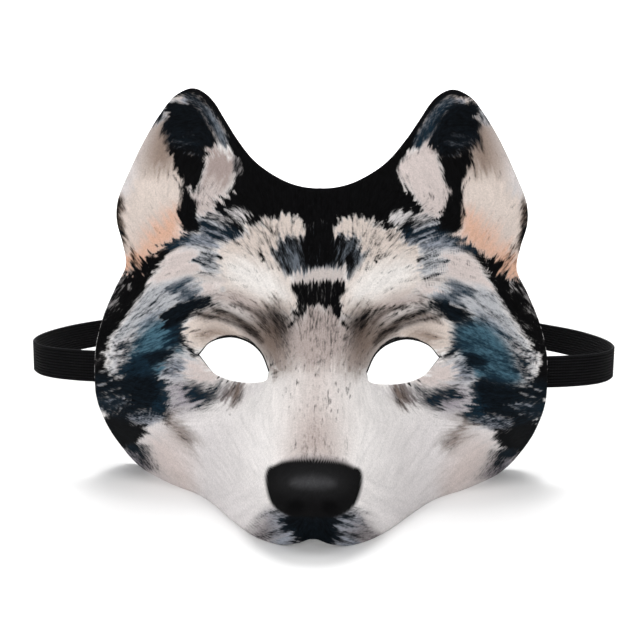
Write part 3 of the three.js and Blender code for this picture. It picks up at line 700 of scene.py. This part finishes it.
def side_distance(across, down, start, end):
    """Square of the distance from a straight side, and how far along it the nearest place is,
    from 0 to 1."""
    ex, ey, wx, wy = end[0] - start[0], end[1] - start[1], across - start[0], down - start[1]
    t = np.clip((wx * ex + wy * ey) / (ex * ex + ey * ey + 1e-9), 0, 1)
    return (wx - ex * t) ** 2 + (wy - ey * t) ** 2, t


def distance_outside(across, down, corners):
    """Distance from a closed line, negative inside it: the least distance from any side, and
    the sign turns each time a level ray from the place crosses a side."""
    nearest = np.full(across.shape, np.inf)
    sign = np.ones(across.shape)
    for start, end in zip(corners, np.roll(corners, -1, axis=0)):
        nearest = np.minimum(nearest, side_distance(across, down, start, end)[0])
        left = (end[0] - start[0]) * (down - start[1]) > (end[1] - start[1]) * (across - start[0])
        above, below = down >= start[1], down < end[1]
        sign *= np.where((above & below & left) | ~(above | below | left), -1.0, 1.0)
    return sign * np.sqrt(nearest)


def distance_along(across, down, line):
    """Distance from an open line, and the share of its length at the nearest place on it."""
    nearest = np.full(across.shape, np.inf)
    share = np.zeros(across.shape)
    for k, (start, end) in enumerate(zip(line[:-1], line[1:])):
        away, t = side_distance(across, down, start, end)
        share = np.where(away < nearest, (k + t) / (len(line) - 1), share)
        nearest = np.minimum(nearest, away)
    return np.sqrt(nearest), share


LATTICE = 512
COMB_TEETH = 9


def lattice_noise(across, down, cell, seed):
    """Chance values from -1 to 1 on a square lattice, blended between its four corners by
    3t^2 - 2t^3."""
    lattice = np.random.default_rng(seed).uniform(-1, 1, (LATTICE, LATTICE))
    column, line = np.floor(across / cell).astype(int), np.floor(down / cell).astype(int)
    s, t = ramp(0, 1, across / cell - column), ramp(0, 1, down / cell - line)
    corner = [[lattice[(column + i) % LATTICE, (line + j) % LATTICE] for j in (0, 1)] for i in (0, 1)]
    return ((corner[0][0] * (1 - s) + corner[1][0] * s) * (1 - t)
            + (corner[0][1] * (1 - s) + corner[1][1] * s) * t)


def combed(across, down, angle, cell, reach, seed):
    """Noise drawn out along the fur: its mean on a straight line of half-length reach that
    lies the fur's way through each place, divided by its spread."""
    total = np.zeros_like(across)
    for share in np.linspace(-1, 1, COMB_TEETH):
        total += lattice_noise(across + share * reach * np.cos(angle),
                               down - share * reach * np.sin(angle), cell, seed)
    return total / total.std()


def linear(ink):
    """Light from a screen colour of 0 to 255, by the screen's own curve."""
    share = np.asarray(ink, dtype=float) / 255
    return np.where(share <= 0.04045, share / 12.92, ((share + 0.055) / 1.055) ** 2.4)


def lie_of_fur(across, down):
    """Twice the fur's angle as a cosine and a sine: the mean of the named places', weighted
    by 1 / (d^2 / spread + 1)^2 at distance d."""
    way = np.zeros((len(across), 2))
    for at_across, at_down, angle in FUR_WAYS:
        weight = 1 / (((across - at_across) ** 2 + (down - at_down) ** 2) / WAY_SPREAD + 1) ** 2
        double = 2 * np.radians(angle)
        way += weight[:, None] * [np.cos(double), np.sin(double)]
    return unit(way)


def stray_hairs():
    """Short straight hairs that lie the fur's way at chance places inside the named areas, as
    rows like those of the strokes."""
    chance = np.random.default_rng(STRAY_SEED)
    rows = []
    for count, darkness, length, corners in STRAY_AREAS:
        corners = np.array(corners, dtype=float)
        spots = chance.uniform(corners.min(axis=0), corners.max(axis=0), (6 * count, 2))
        spots = spots[distance_outside(spots[:, 0], spots[:, 1], corners) < 0][:count]
        double = lie_of_fur(spots[:, 0], spots[:, 1])
        angles = np.arctan2(double[:, 1], double[:, 0]) / 2 + chance.normal(0, STRAY_TURN, len(spots))
        for spot, angle in zip(spots, angles):
            step = length * chance.uniform(*HALF_LENGTHS) * np.array([np.cos(angle), -np.sin(angle)])
            rows.append(("stray hair", STRAY_SOFTNESS, darkness * chance.uniform(*STRAY_FADE), None,
                         STRAY_WIDTHS, [spot - step, spot, spot + step]))
    return rows


# Cut threads at the rim: where they are full and where they end, the pitch of the noise that
# breaks them into dashes, and the part of the rim they are on.
FRAY_INK, FRAY_STRENGTH, FRAY_SEED = (205, 205, 207), 0.75, 11
FRAY_FULL, FRAY_END, FRAY_PITCH, FRAY_STRETCH, FRAY_DASH = 0.1, 0.55, 1.3, 20, (-0.25, 0.35)
FRAY_INNER, FRAY_LOW, FRAY_HIGH = 0.8, 0.1, 0.56


def frayed_edge(points):
    """Pale cut threads in short dashes on the dark sides' rim: how near a point is to the
    outline, times smooth noise along it."""
    fray = np.zeros(len(points))
    out, up = np.abs(points[:, 0]) / HALF_WIDTH, points[:, 2] / FACE_HEIGHT
    side = (out > FRAY_INNER) & (up > FRAY_LOW) & (up < FRAY_HIGH)
    x, z = points[side, 0], points[side, 2]
    outline = smooth_run(OUTLINE, 8)
    depth = -distance_outside(np.abs(x), z, np.vstack([outline, [(0.0, outline[0, 1])]]))
    dash = ramp(*FRAY_DASH, lattice_noise(x / FRAY_STRETCH, z, FRAY_PITCH, FRAY_SEED))
    fray[side] = (1 - ramp(FRAY_FULL, FRAY_END, depth)) * dash * FRAY_STRENGTH
    return fray


# Noise in the coat: width and reach of its grains in picture points and its seed, then how far
# each carries an edge and how much it changes an ink.
STRANDS, STRAND_CARRY, STRAND_SHADE = (1.6, 7.0, 5), 0.75, 0.035
LOCKS, LOCK_CARRY, LOCK_SHADE = (4.5, 12.0, 6), 0.55, 0.02
# An edge is carried by a share of its softness, less on broad edges, and spreads by another.
CARRY_SHARE, CARRY_MOST, BROAD_CARRY, HALF_DARK_CARRY = 0.6, 5.5, 60.0, 0.12
BARE_SPREAD, COMBED_SPREAD = 0.5, 0.25
CORNER_CUTS, LINE_STEPS = 2, 4
PRINT_STRENGTH = 0.845


def near_line(line, margin, across, down):
    """Which places lie in the upright box round a line with a margin."""
    low, high = line.min(axis=0) - margin, line.max(axis=0) + margin
    return (across > low[0]) & (across < high[0]) & (down > low[1]) & (down < high[1])


def lay(layers, near, cover, dark_share, blue_share, tone):
    """Moves each layer towards its new value by the cover. None leaves a layer as it is."""
    shown = None if tone is None else linear(INKS[tone])
    for layer, value in zip(layers, (dark_share, blue_share, shown)):
        if value is not None:
            layer[near] += (value - layer[near]) * (cover if layer.ndim == 1 else cover[:, None])


def paint_coat(points):
    """Ink, dark share, blue share and lie of the fur at every point. Each marking covers what
    is under it by a share that falls smoothly across its soft edge, and strands of noise carry
    the edge along the fur."""
    on_right = points[:, 0] > 0
    across, down = to_picture(np.column_stack([-np.abs(points[:, 0]), points[:, 1:]]))
    real_across, real_down = to_picture(points)
    way = lie_of_fur(across, down)
    angle = np.arctan2(way[:, 1], way[:, 0]) / 2
    real_angle = np.where(on_right, -angle, angle)
    strands = combed(real_across, real_down, real_angle, *STRANDS)
    locks = combed(real_across, real_down, real_angle, *LOCKS)
    carry = STRAND_CARRY * strands + LOCK_CARRY * locks
    dark, blue = np.zeros((2, len(points)))
    ink = np.tile(linear(INKS["white"]), (len(points), 1))
    layers = dark, blue, ink
    mirrored_way = across, down, angle, True
    own_way = real_across, real_down, real_angle, on_right
    for parts, combing, (at_across, at_down, at_angle, there) in (
            (MARKINGS, 1, mirrored_way), (RIGHT_MARKINGS, 1, own_way), (NOSE_PARTS, 0, mirrored_way)):
        carry_across, carry_down = carry * np.cos(at_angle), -carry * np.sin(at_angle)
        for _, soft, dark_share, blue_share, tone, line in parts:
            line = rounded(np.array(line, dtype=float), CORNER_CUTS)
            far = combing * min(CARRY_SHARE * soft, CARRY_MOST, BROAD_CARRY / soft)
            near = near_line(line, soft + 3 * far, at_across, at_down) & there
            outside = distance_outside(at_across[near] + far * carry_across[near],
                                       at_down[near] + far * carry_down[near], line)
            spread = soft * (BARE_SPREAD + COMBED_SPREAD * combing)
            lay(layers, near, 1 - ramp(-spread, spread, outside), dark_share, blue_share, tone)
    for _, soft, dark_share, tone, widths, line in STROKES + stray_hairs():
        line = smooth_run(line, LINE_STEPS)
        near = near_line(line, soft + max(widths), across, down)
        away, share = distance_along(across[near], down[near], line)
        width = widths[0] + (widths[1] - widths[0]) * share
        lay(layers, near, 1 - ramp(-soft / 2, soft / 2, away - width / 2), dark_share, None, tone)
    half_dark = np.sqrt(np.clip(4 * dark * (1 - dark), 0, 1))
    dark = np.clip(dark + HALF_DARK_CARRY * half_dark * carry, 0, 1)
    ink *= PRINT_STRENGTH * (1 + (STRAND_SHADE * strands + LOCK_SHADE * locks)[:, None])
    fray = frayed_edge(points)
    ink += (linear(FRAY_INK) - ink) * fray[:, None]
    dark *= 1 - fray
    way[:, 1] *= np.where(on_right, -1.0, 1.0)
    return ink, dark, blue, way


def keep_on_points(piece, name, kind, field, values):
    """Writes an attribute of one value a point, for the shader to read."""
    piece.data.attributes.new(name, kind, "POINT").data.foreach_set(field, values.ravel())


ink, dark, blue, way = paint_coat(places)
keep_on_points(printed_face, "ink", "FLOAT_COLOR", "color", np.column_stack([ink, np.ones(len(ink))]))
keep_on_points(printed_face, "dark_fur", "FLOAT", "value", dark)
keep_on_points(printed_face, "blue_fur", "FLOAT", "value", blue)
keep_on_points(printed_face, "fur_way", "FLOAT_VECTOR", "vector", np.column_stack([way, np.zeros(len(way))]))


def add_node(tree, kind, inputs=(), **settings):
    """A shader node with its settings. An input is linked to a socket or set to a value."""
    node = tree.nodes.new("ShaderNode" + kind)
    for key, value in settings.items():
        setattr(node, key, value)
    for key, value in dict(inputs).items():
        if isinstance(value, bpy.types.NodeSocket):
            tree.links.new(value, node.inputs[key])
        else:
            node.inputs[key].default_value = value
    return node


def calculate(tree, operation, *values):
    """A Math node on sockets or numbers."""
    return add_node(tree, "Math", dict(enumerate(values)), operation=operation).outputs[0]


def swing(tree, value, gain):
    """1 + gain (value - 1/2), for a value that swings about a half."""
    return calculate(tree, "MULTIPLY_ADD", value, gain, 1 - gain / 2)


def blend_colours(tree, share, first, second, kind="MIX"):
    """A colour Mix node on sockets or colours."""
    ends = {0: share, 6: first, 7: second}
    return add_node(tree, "Mix", ends, data_type="RGBA", blend_type=kind).outputs[2]


def grey(tree, value):
    """A colour whose three parts are one value."""
    return add_node(tree, "CombineColor", {0: value, 1: value, 2: value}).outputs[0]


def screen(ink):
    """A socket's colour for a screen colour of 0 to 255."""
    return (*linear(ink), 1)


def object_place(tree):
    """Place on the piece in metres."""
    return add_node(tree, "TexCoord").outputs["Object"]


RELIEF = 0.0002


def new_look(name, roughness, specular):
    """A material, its tree and its Principled shader with roughness and specular level set."""
    look = bpy.data.materials.new(name)
    look.use_nodes = True
    shader = look.node_tree.nodes["Principled BSDF"]
    shader.inputs["Roughness"].default_value = roughness
    shader.inputs["Specular IOR Level"].default_value = specular
    return look, look.node_tree, shader


def finish_look(tree, shader, colour, height, strength):
    """Links the colour, and a Bump node that stands for relief up to RELIEF high."""
    bump = add_node(tree, "Bump", {"Height": height, "Strength": strength, "Distance": RELIEF})
    tree.links.new(colour, shader.inputs["Base Color"])
    tree.links.new(bump.outputs[0], shader.inputs["Normal"])


# The streaks' noises: how many ways, how long, deep and wide a grain is, how far each starts
# from the one before, how sharply the nearest way is picked, and the contrast.
HAIR_WAYS = 8
HAIR_GRAIN = (0.0052, 0.0030, 0.0010)
HAIR_SHIFT = (0.013, 0.007, 0.011)
HAIR_DETAIL, HAIR_ROUGHNESS = 2.5, 0.55
HAIR_FOCUS = 5.0
HAIR_CONTRAST = 2.4


def hair_group():
    """Streaks that follow the fur: noises, each drawn out along one way, mixed by how well the
    way agrees with the fur's, and divided by the length of the mix."""
    group = bpy.data.node_groups.new("hair streaks", "ShaderNodeTree")
    ends = ("Place", "INPUT", "Vector"), ("Way", "INPUT", "Vector"), ("Hair", "OUTPUT", "Float")
    for name, side, kind in ends:
        group.interface.new_socket(name=name, in_out=side, socket_type="NodeSocket" + kind)
    source = group.nodes.new("NodeGroupInput")
    total = power = 0.0
    for k in range(HAIR_WAYS):
        angle = np.pi * k / HAIR_WAYS
        drawn = add_node(group, "Mapping", {
            "Vector": source.outputs["Place"], "Rotation": (0, -angle, 0), "Scale": HAIR_GRAIN,
            "Location": [k * shift for shift in HAIR_SHIFT]}, vector_type="TEXTURE")
        noise = add_node(group, "TexNoise", {
            "Vector": drawn.outputs[0], "Scale": 1.0, "Detail": HAIR_DETAIL, "Roughness": HAIR_ROUGHNESS})
        agree = add_node(group, "VectorMath", {
            0: source.outputs["Way"], 1: (np.cos(2 * angle), np.sin(2 * angle), 0)}, operation="DOT_PRODUCT")
        near = calculate(group, "MAXIMUM", agree.outputs["Value"], 0.0)
        weight = calculate(group, "POWER", near, HAIR_FOCUS)
        offset = calculate(group, "SUBTRACT", noise.outputs[0], 0.5)
        total = calculate(group, "MULTIPLY_ADD", weight, offset, total)
        power = calculate(group, "MULTIPLY_ADD", weight, weight, power)
    even = calculate(group, "DIVIDE", total, calculate(group, "SQRT", power))
    hair = calculate(group, "MULTIPLY_ADD", even, HAIR_CONTRAST, 0.5)
    group.links.new(hair, group.nodes.new("NodeGroupOutput").inputs["Hair"])
    return group


HAIR = hair_group()
# Sizes of single hairs and of locks, as parts of the group's own, and their shares in the mix.
FINE_HAIR, FINE_SHARE = 0.62, 0.6
HAIR_LOCK, LOCK_SHARE = 1.7, 0.4
# How far hair moves the border of the dark fur, where the border begins, and how much hair
# and the knit under the print lighten and darken the colours.
HAIR_PUSH, BORDER_FROM = 0.8, 0.06
GLEAM, PRINT_SWING = 1.8, 0.12
KNIT_SCALE, KNIT_SWING = 1500.0, 0.44


def place_hair(tree, place, way, size):
    """The hair streaks at a size, where 1 is the group's own."""
    scaled = add_node(tree, "VectorMath", {0: place, "Scale": 1 / size}, operation="SCALE").outputs[0]
    return add_node(tree, "Group", {"Place": scaled, "Way": way}, node_tree=HAIR).outputs["Hair"]


def printed_cloth():
    """The print's ink where the fur is pale and dark fur where it is dark. Hair streaks move
    the border between them by 2 sqrt(d (1 - d)) for a dark share d, and shade both. A fine
    speckle stands for the knit of the cloth."""
    look, tree, shader = new_look("printed cloth", 0.85, 0.05)
    place = object_place(tree)
    kept = ("ink", "Color"), ("dark_fur", "Fac"), ("blue_fur", "Fac"), ("fur_way", "Vector")
    ink, dark, blue, way = (add_node(tree, "Attribute", attribute_name=name).outputs[output]
                            for name, output in kept)
    fine = calculate(tree, "MULTIPLY", place_hair(tree, place, way, FINE_HAIR), FINE_SHARE)
    hair = calculate(tree, "MULTIPLY_ADD", place_hair(tree, place, way, HAIR_LOCK), LOCK_SHARE, fine)
    half_dark = calculate(tree, "MULTIPLY", dark, calculate(tree, "MULTIPLY_ADD", dark, -4.0, 4.0))
    reach = calculate(tree, "SQRT", calculate(tree, "MAXIMUM", half_dark, 0.0))
    push = calculate(tree, "MULTIPLY_ADD", hair, HAIR_PUSH, -HAIR_PUSH / 2)
    level = calculate(tree, "MULTIPLY_ADD", reach, push, dark)
    mask = add_node(tree, "MapRange", {"Value": level, "From Min": BORDER_FROM, "From Max": 1 - BORDER_FROM},
                    interpolation_type="SMOOTHSTEP")
    fur = blend_colours(tree, blue, screen(DARK_FUR), screen(BLUE_FUR))
    fur = blend_colours(tree, 1.0, fur, grey(tree, swing(tree, hair, GLEAM)), "MULTIPLY")
    coat = blend_colours(tree, mask.outputs[0], ink, fur)
    speck = add_node(tree, "TexNoise", {"Vector": place, "Scale": KNIT_SCALE, "Detail": 1.0}).outputs[0]
    shade = calculate(tree, "MULTIPLY", swing(tree, hair, PRINT_SWING), swing(tree, speck, KNIT_SWING))
    finish_look(tree, shader, blend_colours(tree, 1.0, coat, grey(tree, shade), "MULTIPLY"), speck, 0.25)
    return look


printed_face.data.materials.append(printed_cloth())


# The foam under the cloth is black and shows only where the sheet is cut, at the rim and
# round the eye holes. Those of the layers behind the cloth sit a little lower, and show as a
# black line under the upper lid. A small gap keeps the faces of two layers apart.
CORE_COLUMNS = (100, 26, 24, 60)
CORE_RINGS = np.linspace(0, 1, 30)
HOLE_SHIFT = (0.35, -0.9)
LAYER_GAP = 0.02
foam_core, _ = face_sheet("foam_core", (CLOTH + LAYER_GAP, FOAM), CORE_COLUMNS, (CORE_RINGS, COARSE_RINGS),
                          hole_shift=HOLE_SHIFT)
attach(foam_core, "root")
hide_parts("mask_shell")

# The foam's colour is painted darker in the hollow middles of its cells, as shade in the pores, and paler at
# their rims.
FOAM_PORE_SHADE, FOAM_PALE = (8, 8, 9), (34, 34, 35)
CELLS_A_METRE = 2600.0


def open_foam():
    """Black foam: cells of a Voronoi pattern, deeper at their middles, where painted shade darkens the
    colour.
    """
    look, tree, shader = new_look("black foam", 0.95, 0.05)
    cells = add_node(tree, "TexVoronoi", {"Vector": object_place(tree), "Scale": CELLS_A_METRE})
    rise = cells.outputs["Distance"]
    finish_look(tree, shader, blend_colours(tree, rise, screen(FOAM_PORE_SHADE), screen(FOAM_PALE)), rise, 0.5)
    return look


foam_core.data.materials.append(open_foam())

# The back is lined with thin black knit, laminated to the foam and cut with it. It follows
# the face at an even thickness.
LINING_RINGS = np.linspace(0, 1, 24)
lining, _ = face_sheet("back_lining_cloth", (FOAM + LAYER_GAP, FOAM + GAP + LINING), CORE_COLUMNS,
                       (LINING_RINGS, LINING_RINGS), hole_shift=HOLE_SHIFT)
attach(lining, "root")
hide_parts("back_lining")

# The knit is painted darker between its raised loops, as shade, and paler on the loops.
KNIT_HOLLOW_SHADE, KNIT_PALE = (9, 9, 10), (38, 38, 41)
KNIT_COLUMN, KNIT_ROW, KNIT_SLANT, KNIT_FALL = 0.0011, 0.0009, 1.6, 1.2


def black_knit():
    """Columns of V-shaped stitches: (1 + sin(2 pi (z / row + slant f))) / 2 times 1 - fall f,
    where f is x folded within its column to between 0 and 1/2. This ridge sets both the relief
    and the colour, so the knit is darker between its raised loops, as painted shade."""
    look, tree, shader = new_look("black knit", 0.9, 0.1)
    place = add_node(tree, "SeparateXYZ", {0: object_place(tree)})
    fold = calculate(tree, "PINGPONG", calculate(tree, "DIVIDE", place.outputs["X"], KNIT_COLUMN), 0.5)
    row = calculate(tree, "DIVIDE", place.outputs["Z"], KNIT_ROW)
    turn = calculate(tree, "MULTIPLY", calculate(tree, "MULTIPLY_ADD", fold, KNIT_SLANT, row), 2 * np.pi)
    loop = calculate(tree, "MULTIPLY_ADD", calculate(tree, "SINE", turn), 0.5, 0.5)
    ridge = calculate(tree, "MULTIPLY", loop, calculate(tree, "MULTIPLY_ADD", fold, -KNIT_FALL, 1.0))
    finish_look(tree, shader, blend_colours(tree, ridge, screen(KNIT_HOLLOW_SHADE), screen(KNIT_PALE)), ridge, 0.6)
    return look


lining.data.materials.append(black_knit())


# The strap is flat woven elastic with ribs along it. It is sewn behind both cheeks and runs
# round the head in one loop that stands on edge.
STRAP_WIDTH = 15.0
STRAP_THICKNESS = 1.2
STRAP_LEVEL = 52.0
STRAP_SEWN = 22.0
STRAP_CLEARANCE = 0.5
STRAP_SPAN = 293.5
STRAP_BACK = 136.0
STRAP_ROUTE = np.array([
    (0.777, 0.055), (0.863, 0.090), (0.928, 0.143), (0.977, 0.225), (1.000, 0.325),
    (1.000, 0.430), (0.982, 0.540), (0.946, 0.655), (0.884, 0.765), (0.790, 0.860),
    (0.655, 0.935), (0.473, 0.980), (0.240, 1.000), (0.000, 1.000),
]) * [STRAP_SPAN / 2, STRAP_BACK]
STRAP_LIFT = 4.0
LIFTED_INSIDE, LIFTED_BEHIND = (75.0, 135.0), (60.0, 110.0)
STRAP_RIBS = 11
RIB_HEIGHT = 0.22
EDGE_FALL, EDGE_SHARE = 0.35, 0.03
ROUTE_STEPS, BAND_STEPS, BAND_POINTS = 30, 420, 100


def strap_edge(level, steps):
    """One edge in plan as a smooth run at a level: behind the cheek, then round the head."""
    sewn_x = HALF_WIDTH - np.array([STRAP_SEWN, STRAP_SEWN / 2, 0.0])
    behind = FOAM + GAP + LINING + STRAP_CLEARANCE
    sewn = sheet_point(sewn_x, np.full(3, level), np.full(3, behind))[:, :2]
    half = np.vstack([sewn, STRAP_ROUTE])
    run = smooth_run(np.vstack([half, half[-2::-1] * [-1, 1]]), ROUTE_STEPS)
    return along(run, np.linspace(0, 1, steps + 1))


def strap_lift(x, y):
    """The back of the loop rides a little higher than its sewn ends."""
    return STRAP_LIFT * (1 - ramp(*LIFTED_INSIDE, np.abs(x))) * ramp(*LIFTED_BEHIND, y)


def tube_walls(rings, sides):
    """Numbers of the points of rings that follow each other, and the quads between them."""
    number = np.arange(rings * sides).reshape(rings, sides)
    beside = np.roll(number, -1, axis=1)
    quads = np.stack([number[:-1], beside[:-1], beside[1:], number[1:]], axis=-1)
    return number, quads.reshape(-1, 4)


def strap_band(steps, points_across):
    """A flat band: the line between its two edges, carried along them, with a thickness
    towards the head and ribs that rise as a sine across the width on both faces."""
    top = strap_edge(STRAP_LEVEL + STRAP_WIDTH / 2, steps)
    bottom = strap_edge(STRAP_LEVEL - STRAP_WIDTH / 2, steps)
    ways = unit(np.gradient((top + bottom) / 2, axis=0))
    inward = np.stack([-ways[:, 1], ways[:, 0]], axis=1)
    share = np.linspace(0, 1, points_across)
    rib = RIB_HEIGHT * (0.5 - 0.5 * np.cos(2 * np.pi * STRAP_RIBS * share))
    near_edge = np.clip(1 - np.minimum(share, 1 - share) / EDGE_SHARE, 0, 1)
    outer = RIB_HEIGHT - rib + EDGE_FALL * STRAP_THICKNESS * near_edge ** 2
    offset = np.concatenate([outer, (STRAP_THICKNESS - outer)[::-1]])[:, None]
    across = np.concatenate([share, share[::-1]])[:, None]
    plan = top[:, None] * (1 - across) + bottom[:, None] * across + inward[:, None] * offset
    lift = strap_lift(plan[..., 0], plan[..., 1])
    level = STRAP_LEVEL + STRAP_WIDTH * (0.5 - across.T) + lift
    number, walls = tube_walls(len(plan), len(across))
    caps = []
    for ring, turned in ((number[0], 1), (number[-1], -1)):
        outside, inside = ring[:points_across], ring[:points_across - 1:-1]
        cap = np.stack([outside[:-1], outside[1:], inside[1:], inside[:-1]], axis=-1)
        caps.append(cap[:, ::turned])
    return np.concatenate([plan, level[..., None]], axis=2).reshape(-1, 3), np.vstack([walls] + caps)


strap, strap_places = build_mesh("head_strap", *strap_band(BAND_STEPS, BAND_POINTS))
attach(strap, "root")
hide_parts("elastic_strap")

# Each point of the strap keeps its share across the band and its millimetres round the head,
# counted on a circle.
LOOP_MIDDLE, LOOP_RADIUS = 40.0, 120.0
x, y, z = strap_places.T
across_band = (z - strap_lift(x, y + FACE_AHEAD) - STRAP_LEVEL) / STRAP_WIDTH + 0.5
around_band = np.arctan2(x, y - LOOP_MIDDLE) * LOOP_RADIUS
keep_on_points(strap, "band_place", "FLOAT_VECTOR", "vector",
               np.column_stack([across_band, around_band, np.zeros(len(z))]))

# The grooves between the ribs and between the weft threads are painted darker, as shade; the tops of the
# ribs are paler.
GROOVE_SHADE_BLACK, RIB_BLACK, BINDING_BLACK = (2, 2, 2), (20, 20, 22), (44, 44, 46)
WEFT_PITCH, RIB_SHADE, WEFT_SHADE, MEAN_SHADE = 0.9, 0.36, 0.1, 0.46
BINDING_FROM = 0.488


def ribbed_elastic():
    """Black ribs along the band, crossed by fine weft threads: mean less a cosine across plus a
    sine along. The same value sets the relief and the colour, so the grooves between ribs and
    threads are darker with painted shade. A paler thread binds each edge."""
    look, tree, shader = new_look("black elastic", 0.8, 0.06)
    band = add_node(tree, "SeparateXYZ", {
        0: add_node(tree, "Attribute", attribute_name="band_place").outputs["Vector"]})
    across = band.outputs["X"]
    ribs = calculate(tree, "COSINE", calculate(tree, "MULTIPLY", across, 2 * np.pi * STRAP_RIBS))
    weft = calculate(tree, "SINE", calculate(tree, "MULTIPLY", band.outputs["Y"], 2 * np.pi / WEFT_PITCH))
    weft = calculate(tree, "MULTIPLY_ADD", weft, WEFT_SHADE, MEAN_SHADE)
    thread = calculate(tree, "MULTIPLY_ADD", ribs, -RIB_SHADE, weft)
    cloth = blend_colours(tree, thread, screen(GROOVE_SHADE_BLACK), screen(RIB_BLACK))
    middle = calculate(tree, "ABSOLUTE", calculate(tree, "SUBTRACT", across, 0.5))
    binding = calculate(tree, "GREATER_THAN", middle, BINDING_FROM)
    finish_look(tree, shader, blend_colours(tree, binding, cloth, screen(BINDING_BLACK)), thread, 0.5)
    return look


strap.data.materials.append(ribbed_elastic())

# Bar tacks of black thread hold each end of the strap to the back of the cheek: two zigzags
# across it, drawn tight on the elastic.
THREAD = 0.22
THREAD_SIDES = 8
THREAD_OFF_STRAP = 0.05
THREAD_STEPS, FINE_STEPS = 6, 1000
TACK_WIDTH = 2.6
TACK_PITCH = 0.7
TACK_HEIGHT = 12.0
TACKS = (5.0, 15.0)


def strap_face(away, level, depth):
    """A point at a distance from the strap's sewn end and a level, depth towards the head."""
    edge = strap_edge(level, FINE_STEPS)
    at = min(np.searchsorted(lengths_along(edge), away), len(edge) - 2)
    ahead = unit(edge[at + 1] - edge[at])
    return np.array([*(edge[at] + depth * np.array([-ahead[1], ahead[0]])), level])


def thread_mesh(name, path, radius):
    """A round thread: circles of points carried along the path, square to it. Three quads
    close each end."""
    ahead = unit(np.gradient(path, axis=0))
    across = unit(np.cross(ahead, [0.3, 1.0, 0.1]))
    up = np.cross(ahead, across)
    turn = np.linspace(0, 2 * np.pi, THREAD_SIDES + 1)[:-1, None]
    rings = path[:, None] + radius * (np.cos(turn) * across[:, None] + np.sin(turn) * up[:, None])
    number, walls = tube_walls(len(path), THREAD_SIDES)
    last_end = number[-1][np.array([(0, 1, 2, 3), (0, 3, 4, 7), (4, 5, 6, 7)])]
    first_end = last_end[:, ::-1] - number[-1, 0]
    return build_mesh(name, rings.reshape(-1, 3), np.vstack([walls, first_end, last_end]))[0]


def bar_tack(away, mirror):
    """A zigzag path: level rises by half a pitch while the thread goes from side to side."""
    levels = STRAP_LEVEL + np.arange(-TACK_HEIGHT / 2, TACK_HEIGHT / 2, TACK_PITCH / 2)
    depth = STRAP_THICKNESS + THREAD_OFF_STRAP
    zigzag = [strap_face(away + TACK_WIDTH / 2 * (-1) ** k, level, depth) for k, level in enumerate(levels)]
    return smooth_run(zigzag, THREAD_STEPS) * [mirror, 1, 1]


for tack_side, mirror in (("left", 1), ("right", -1)):
    for number, away in enumerate(TACKS):
        tack = thread_mesh(f"bar_tack_{tack_side}_{number + 1}", bar_tack(away, mirror), THREAD)
        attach(tack, "root")
        tack.data.materials.append(strap.data.materials[0])


# The floor and the wall behind it are one pale sweep of matte card, lit softly from all round.
# Its sizes are in metres.
SWEEP_FRONT, BEND_FROM, BEND_RADIUS, WALL_TOP, SWEEP_SIDE = -3.0, 1.6, 1.0, 3.0, 4.0
CARD = (0.95, 0.95, 0.95, 1)
WORLD_STRENGTH = 0.3


def studio_sweep():
    """A profile that is flat, bends up as a quarter circle and stands, carried across x."""
    angle = np.linspace(0, np.pi / 2, 25)
    flat = np.stack([np.linspace(SWEEP_FRONT, BEND_FROM, 12), np.zeros(12)], axis=1)
    bend = np.stack([BEND_FROM + BEND_RADIUS * np.sin(angle), BEND_RADIUS * (1 - np.cos(angle))], axis=1)
    wall = np.stack([np.full(6, BEND_FROM + BEND_RADIUS), np.linspace(BEND_RADIUS, WALL_TOP, 6)], axis=1)
    profile = np.vstack([flat, bend[1:], wall[1:]])
    xs = np.linspace(-SWEEP_SIDE, SWEEP_SIDE, 9)
    points = [(x, y, z) for x in xs for y, z in profile]
    number = np.arange(len(points)).reshape(len(xs), len(profile))
    quads = np.stack([number[:-1, :-1], number[1:, :-1], number[1:, 1:], number[:-1, 1:]], axis=-1)
    mesh = bpy.data.meshes.new("studio_sweep")
    mesh.from_pydata(points, [], quads.reshape(-1, 4).tolist())
    mesh.shade_smooth()
    sweep = bpy.data.objects.new("studio_sweep", mesh)
    bpy.context.scene.collection.objects.link(sweep)
    return sweep


sweep = studio_sweep()
card, _, card_shader = new_look("pale card", 1.0, 0.5)
card_shader.inputs["Base Color"].default_value = CARD
sweep.data.materials.append(card)

world = bpy.data.worlds.new("studio")
bpy.context.scene.world = world
world.use_nodes = True
world.node_tree.nodes["Background"].inputs["Color"].default_value = (1, 1, 1, 1)
world.node_tree.nodes["Background"].inputs["Strength"].default_value = WORLD_STRENGTH


def soft_light(name, place, aim, size, spread, power):
    """A round light at a place in metres that shines towards its aim. Size is its width in
    metres, spread its angle in degrees and power its watts."""
    data = bpy.data.lights.new(name, "AREA")
    data.shape = "DISK"
    data.size = size
    data.spread = np.radians(spread)
    data.energy = power
    lamp = bpy.data.objects.new(name, data)
    lamp.location = place
    lamp.rotation_euler = (Vector(aim) - Vector(place)).to_track_quat("-Z", "Y").to_euler()
    bpy.context.scene.collection.objects.link(lamp)


for side, x in (("left", -1), ("right", 1)):
    soft_light(side + " top light", (x * 0.45, -0.22, 1.1), (0, 0, 0), 0.6, 180, 3.6)
    soft_light(side + " back light", (x * 0.1, 0.3, 1.15), (0, 0, 0), 0.4, 180, 3.3)
soft_light("front light", (-0.3, -1.3, 0.35), (0, 0, 0.08), 0.8, 180, 4.8)
soft_light("wall light", (0, 1.1, 2.4), (0, 2.6, 0.8), 2.2, 110, 60)
bpy.context.scene.view_settings.view_transform = "Standard"
